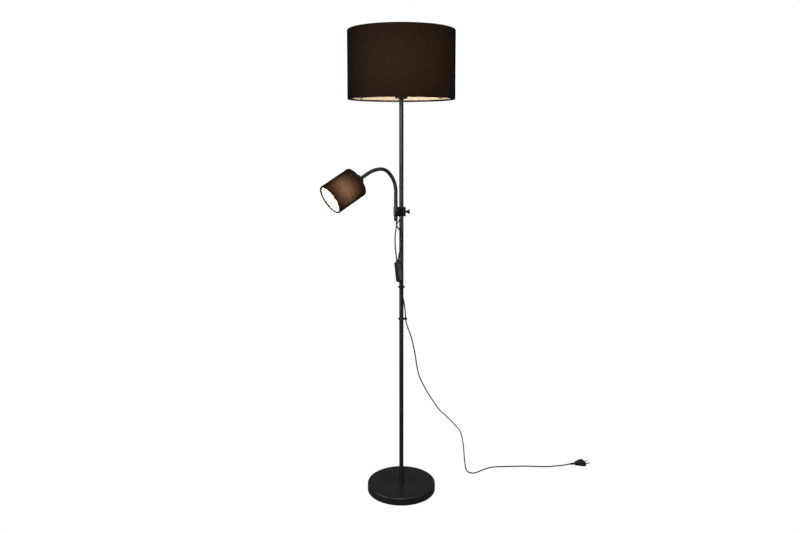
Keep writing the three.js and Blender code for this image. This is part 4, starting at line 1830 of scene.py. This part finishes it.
def make_head_shade():
    wire = HEAD_WIRE
    ring_r = HEAD_R - 3.2
    arms = []
    for degrees in (90, 210, 330):
        c, s = math.cos(math.radians(degrees)), math.sin(math.radians(degrees))
        arms.append(([(r * c, r * s, 2.9) for r in (16.5, 26, 36, ring_r - 2.6)], 1.3))
    hub = [(14.3, 2.4), (18.7, 2.4), (19, 2.7), (19, 3.7), (18.7, 4), (14.3, 4)]
    piece = spider("reading_shade_spider", hub, arms, HEAD)
    finished(piece, FINISH["zinc"], ["head_spider"], "head")
    back = wire_ring("reading_shade_wire_back", ring_r, 2.8, wire, HEAD)
    finished(back, FINISH["zinc"], ["head_wire_back"], "head", 80)
    front = wire_ring("reading_shade_wire_front", ring_r, HEAD_L - 2.8, wire, HEAD)
    finished(front, FINISH["zinc"], ["head_wire_front"], "head", 80)
    seam = math.radians(20)
    ends = (0, HEAD_L, wire, HEAD, seam)
    # The reading shade's cloth gets a painted glow: an emission that stands for the reading bulb's
    # light coming through it.
    linen = linen_with_painted_glow(
        "small_black_linen",
        HEAD_R * MM,
        0.57 * HEAD_L * MM,
        glow=(1.0, 0.47, 0.24, 1),
        strength=2.3,
        veil=0.24,
        mottle=0.32,
        falloff=3.2,
    )
    cloth = cloth_drum("reading_shade_cloth", HEAD_R, *ends, swell=0.1)
    finished(cloth, linen, ["head_shade"], "head", 50)
    inner = lining_drum("reading_shade_lining", HEAD_R - 0.8, *ends)
    finished(inner, FINISH["lining_small"], ["head_lining"], "head", 50)
    return cloth


# ---- the twin rocker switch ----------------------------------------------------------------------
SWITCH_MOUTHS = ((-3.79, 1.03), (4.99, 5.44))
SWITCH_EXIT = (3.06, 1.7)
SWITCH_MID = SWITCH_L / 2
RELIEF_BEND_Z = -70.8  # below this the sleeve leans the way the mains cord leaves
RELIEF_LEAN = (0.114, 0.171)


def shell_half(name, x0, x1):
    """One half of the switch's case: a block with round corners, from x0 to x1."""
    return round_along(block(name, (x0, -12, -SWITCH_L), (x1, 12, 0)), 0, 7, 10)


def soften(piece, face_x, width):
    """Rounds the rim of the flat face at x = face_x, in millimetres."""
    at = face_x * MM
    return round_edges(piece, lambda a, b: max(abs(a.x - at), abs(b.x - at)) < 1e-5, width, 4)


def rocker_windows():
    half = SWITCH_MID
    return [
        block("window_low", (-12, -5.4, -half - 15.4), (-4, 5.4, -half - 0.6)),
        block("window_high", (-12, -5.4, -half + 0.6), (-4, 5.4, -half + 15.4)),
    ]


def switch_half(name, x0, x1, face, mouth):
    """One half of the case: its rim at face is soft, and one cord enters at mouth."""
    piece = soften(shell_half(name, x0, x1), face, 2.4)
    welded(piece, rod("mouth", (*mouth, -8), (*mouth, 6.8), 3.4, 2.9, 40))
    beyond = (0.85, 20) if face < 0 else (-20, 1.15)
    cut(
        piece,
        block("hollow", (-7.4, -9.6, -62), (7.4, 9.6, -7)),
        block("parting", (beyond[0], -20, -90), (beyond[1], 20, 20)),
        rod("relief_way", (*SWITCH_EXIT, -75), (*SWITCH_EXIT, -60), 3.7, steps=40),
        *[rod("cord_way", (a, b, -12), (a, b, 8), 2.5, steps=32) for a, b in SWITCH_MOUTHS],
    )
    piece.name = piece.data.name = name
    return piece


def make_switch():
    half = SWITCH_MID
    front = switch_half("switch_case_front", -9.5, 3.4, -9.5, SWITCH_MOUTHS[0])
    bezel = block("bezel", (-10, -6.6, -half - 16.6), (-8, 6.6, -half + 16.6))
    round_along(bezel, 0, 1.4, 4)
    welded(front, bezel)
    cut(front, *rocker_windows())
    back = switch_half("switch_case_back", -2, 9.5, 9.5, SWITCH_MOUTHS[1])
    cut(back, rod("screw_way", (4, 0, -half), (12, 0, -half), 2.4, steps=32))
    for piece, node in ((front, "switch_shell_front"), (back, "switch_shell_back")):
        settle(piece, SWITCH)
        finished(piece, FINISH["shell_plastic"], [node], "carriage", 30)
    for node, z in (("rocker_main", -half + 8), ("rocker_reading", -half - 8)):
        outline = [(-4.6, -6.2), (-11.5, -6.6), (-11.9, -6.2), (-11.2, -3.3), (-10.8, 0)]
        outline += [(-11.2, 3.3), (-11.9, 6.2), (-11.5, 6.6), (-4.6, 6.2)]
        matrix = SWITCH @ move(0, 0, z) @ turn_about("X", 90) @ move(0, 0, -4.8)
        piece = plate(node + "_key", outline, 9.6, matrix)
        rounded(piece, 0.5, 3, 50)
        finished(piece, FINISH["fine_plastic"], [node], node, 40)
    screw = rod("switch_case_screw", (5, 0, -half), (9, 0, -half), 2, steps=40, matrix=SWITCH)
    for across, along in ((0.35, 1.8), (1.8, 0.35)):
        low, high = (8.2, -across, -half - along), (9.6, across, -half + along)
        cut(screw, block("slot", low, high, SWITCH))
    finished(screw, FINISH["zinc"], ["switch_screw"], "carriage")
    rings = []
    for i in range(4):
        z = -72.4 - 2.5 * i
        rings += [(4.1 - 0.3 * i, z), (4.1 - 0.3 * i, z - 1.3), (3.5 - 0.25 * i, z - 1.6)]
        rings += [(3.5 - 0.25 * i, z - 2.3)]
    outline = [(2.4, -62.8), (3.3, -62.8), (3.3, -71), (4.2, -71.2)]
    outline += [*rings, (2.9, -83.4), (2.4, -83.6)]
    relief = turned("switch_cord_relief", outline, 40)
    for vertex in relief.data.vertices:
        down = max(0.0, RELIEF_BEND_Z * MM - vertex.co.z)
        vertex.co.x += RELIEF_LEAN[0] * down
        vertex.co.y += RELIEF_LEAN[1] * down
    settle(relief, SWITCH @ move(*SWITCH_EXIT, 0))
    finished(relief, FINISH["rubber"], ["switch_relief"], "carriage")


# ---- the plug -----------------------------------------------------------------------------------
def make_plug():
    half = [(22, 4.6), (27, 6), (31, 8), (39, 12.6), (46, 16.2), (50, 17.3), (59.4, 17.6), (60, 17)]
    outline = [*[(x, -y) for x, y in half], *[(x, y) for x, y in reversed(half)]]
    body = plate("plug_slab", outline, 13.4, move(0, 0, -6.7))
    rounded(body, 1.5, 4, 50)
    cone = rod("cone", (20, 0, 0), (62, 0, 0), 7, 24, 64)
    combined(body, cone, "INTERSECT")
    ribs = [(2.3, 0.4), (2.8, 0.4)]
    for i in range(8):
        x = 1.4 + 2.9 * i
        r = 3.1 + 0.2 * i
        ribs += [(r, x), (r, x + 1.8), (r - 0.45, x + 2.1), (r - 0.45, x + 2.7)]
    ribs += [(4.6, 25), (4.6, 28), (2.3, 28)]
    relief = turned("relief", ribs, 40, turn_about("Y", 90))
    piece = welded(body, relief)
    for side in (1, -1):
        for i in range(4):
            x = 33 + 4.2 * i
            y = 8.6 + 0.53 * (x - 31)
            grip = rod("grip", (x, side * (y + 1.2), -9), (x, side * (y + 1.2), 9), 1.0, steps=20)
            cut(piece, grip)
    piece.name = piece.data.name = "mains_plug"
    settle(piece, PLUG)
    finished(piece, FINISH["shell_plastic"], ["plug_body"], "root", 35)
    parts = [piece]
    for side, node in ((1, "plug_pin_left"), (-1, "plug_pin_right")):
        y = 9.3 * side
        pin = turned(
            "mains_" + node,
            [(0, 56), (1.85, 56), (1.85, 69.5), (1.98, 69.8), (1.98, 77), (1.3, 78.7), (0, 79)],
            32,
            PLUG @ move(0, y, 0) @ turn_about("Y", 90),
        )
        finished(pin, FINISH["nickel"], [node], "root")
        parts.append(pin)
    return parts


# ---- everything in its place -------------------------------------------------------------------
make_foot()
make_pole()
make_grommet()
make_clips()
make_main_holder()
make_main_bulb()
make_main_frame()
SHADE_CLOTH = make_main_shade()
make_clamp()
make_wing_screw()
make_sleeve()
make_neck()
make_head()
SMALL_CLOTH = make_head_shade()
make_switch()
PLUG_PARTS = make_plug()

KEPT = {
    "base_weight": "cement",
    "stem_stud": "zinc",
    "stem_nut": "zinc",
    "pole_joiner_1": "zinc",
    "pole_joiner_2": "zinc",
    "pole_joiner_3": "zinc",
    "holder_thread": "brass",
    "head_thread": "brass",
    "clamp_bush": "fine_plastic",
}
for node, finish in KEPT.items():
    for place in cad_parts[node].material_slots:
        place.material = FINISH[finish]


# ---- floor, backdrop light and lamps -------------------------------------------------------------
WHITE = (1, 1, 1, 1)


def white_when_seen(owner, kind, output_kind, dim):
    """White to the camera, and only dim to the lamp, so that black stays black."""
    owner.use_nodes = True
    tree = owner.node_tree
    tree.nodes.clear()
    seen = add(tree, "ShaderNodeLightPath").outputs["Is Camera Ray"]
    white = add(tree, kind, {"Color": WHITE, "Strength": 1.0}).outputs[0]
    grey = add(tree, kind, {"Color": WHITE, "Strength": dim}).outputs[0]
    mix = add(tree, "ShaderNodeMixShader", {0: seen, 1: grey, 2: white})
    output = add(tree, output_kind)
    tree.links.new(mix.outputs[0], output.inputs["Surface"])


def make_floor():
    """A white sheet just under the pad."""
    deselect()
    bpy.ops.mesh.primitive_plane_add(size=40, location=(0, 0, -0.0003))
    floor = started("studio_floor")
    material = bpy.data.materials.new("white_floor")
    white_when_seen(material, "ShaderNodeEmission", "ShaderNodeOutputMaterial", 0.1)
    floor.data.materials.append(material)


def make_world():
    world = bpy.data.worlds.new("studio")
    bpy.context.scene.world = world
    white_when_seen(world, "ShaderNodeBackground", "ShaderNodeOutputWorld", 0.14)


def softbox(name, place, aim, width, height, power):
    data = bpy.data.lights.new(name, "AREA")
    data.shape = "RECTANGLE"
    data.size = width
    data.size_y = height
    data.energy = power
    light = bpy.data.objects.new(name, data)
    bpy.context.scene.collection.objects.link(light)
    light.location = place
    light.rotation_euler = (Vector(aim) - Vector(place)).to_track_quat("-Z", "Y").to_euler()


make_floor()
make_world()
softbox("softbox_front", (-0.45, -2.7, 1.75), (0, 0, 1.35), 0.9, 1.3, 44)
softbox("softbox_left", (-2.3, -0.9, 1.3), (0, 0, 1.2), 0.4, 2.0, 36)
softbox("softbox_right", (1.9, -1.5, 0.6), (0, 0, 0.85), 0.3, 0.8, 5.5)
softbox("softbox_above", (0.2, -0.2, 3.2), (0, 0, 0), 1.6, 1.6, 22)
bpy.context.scene.view_settings.view_transform = "Standard"
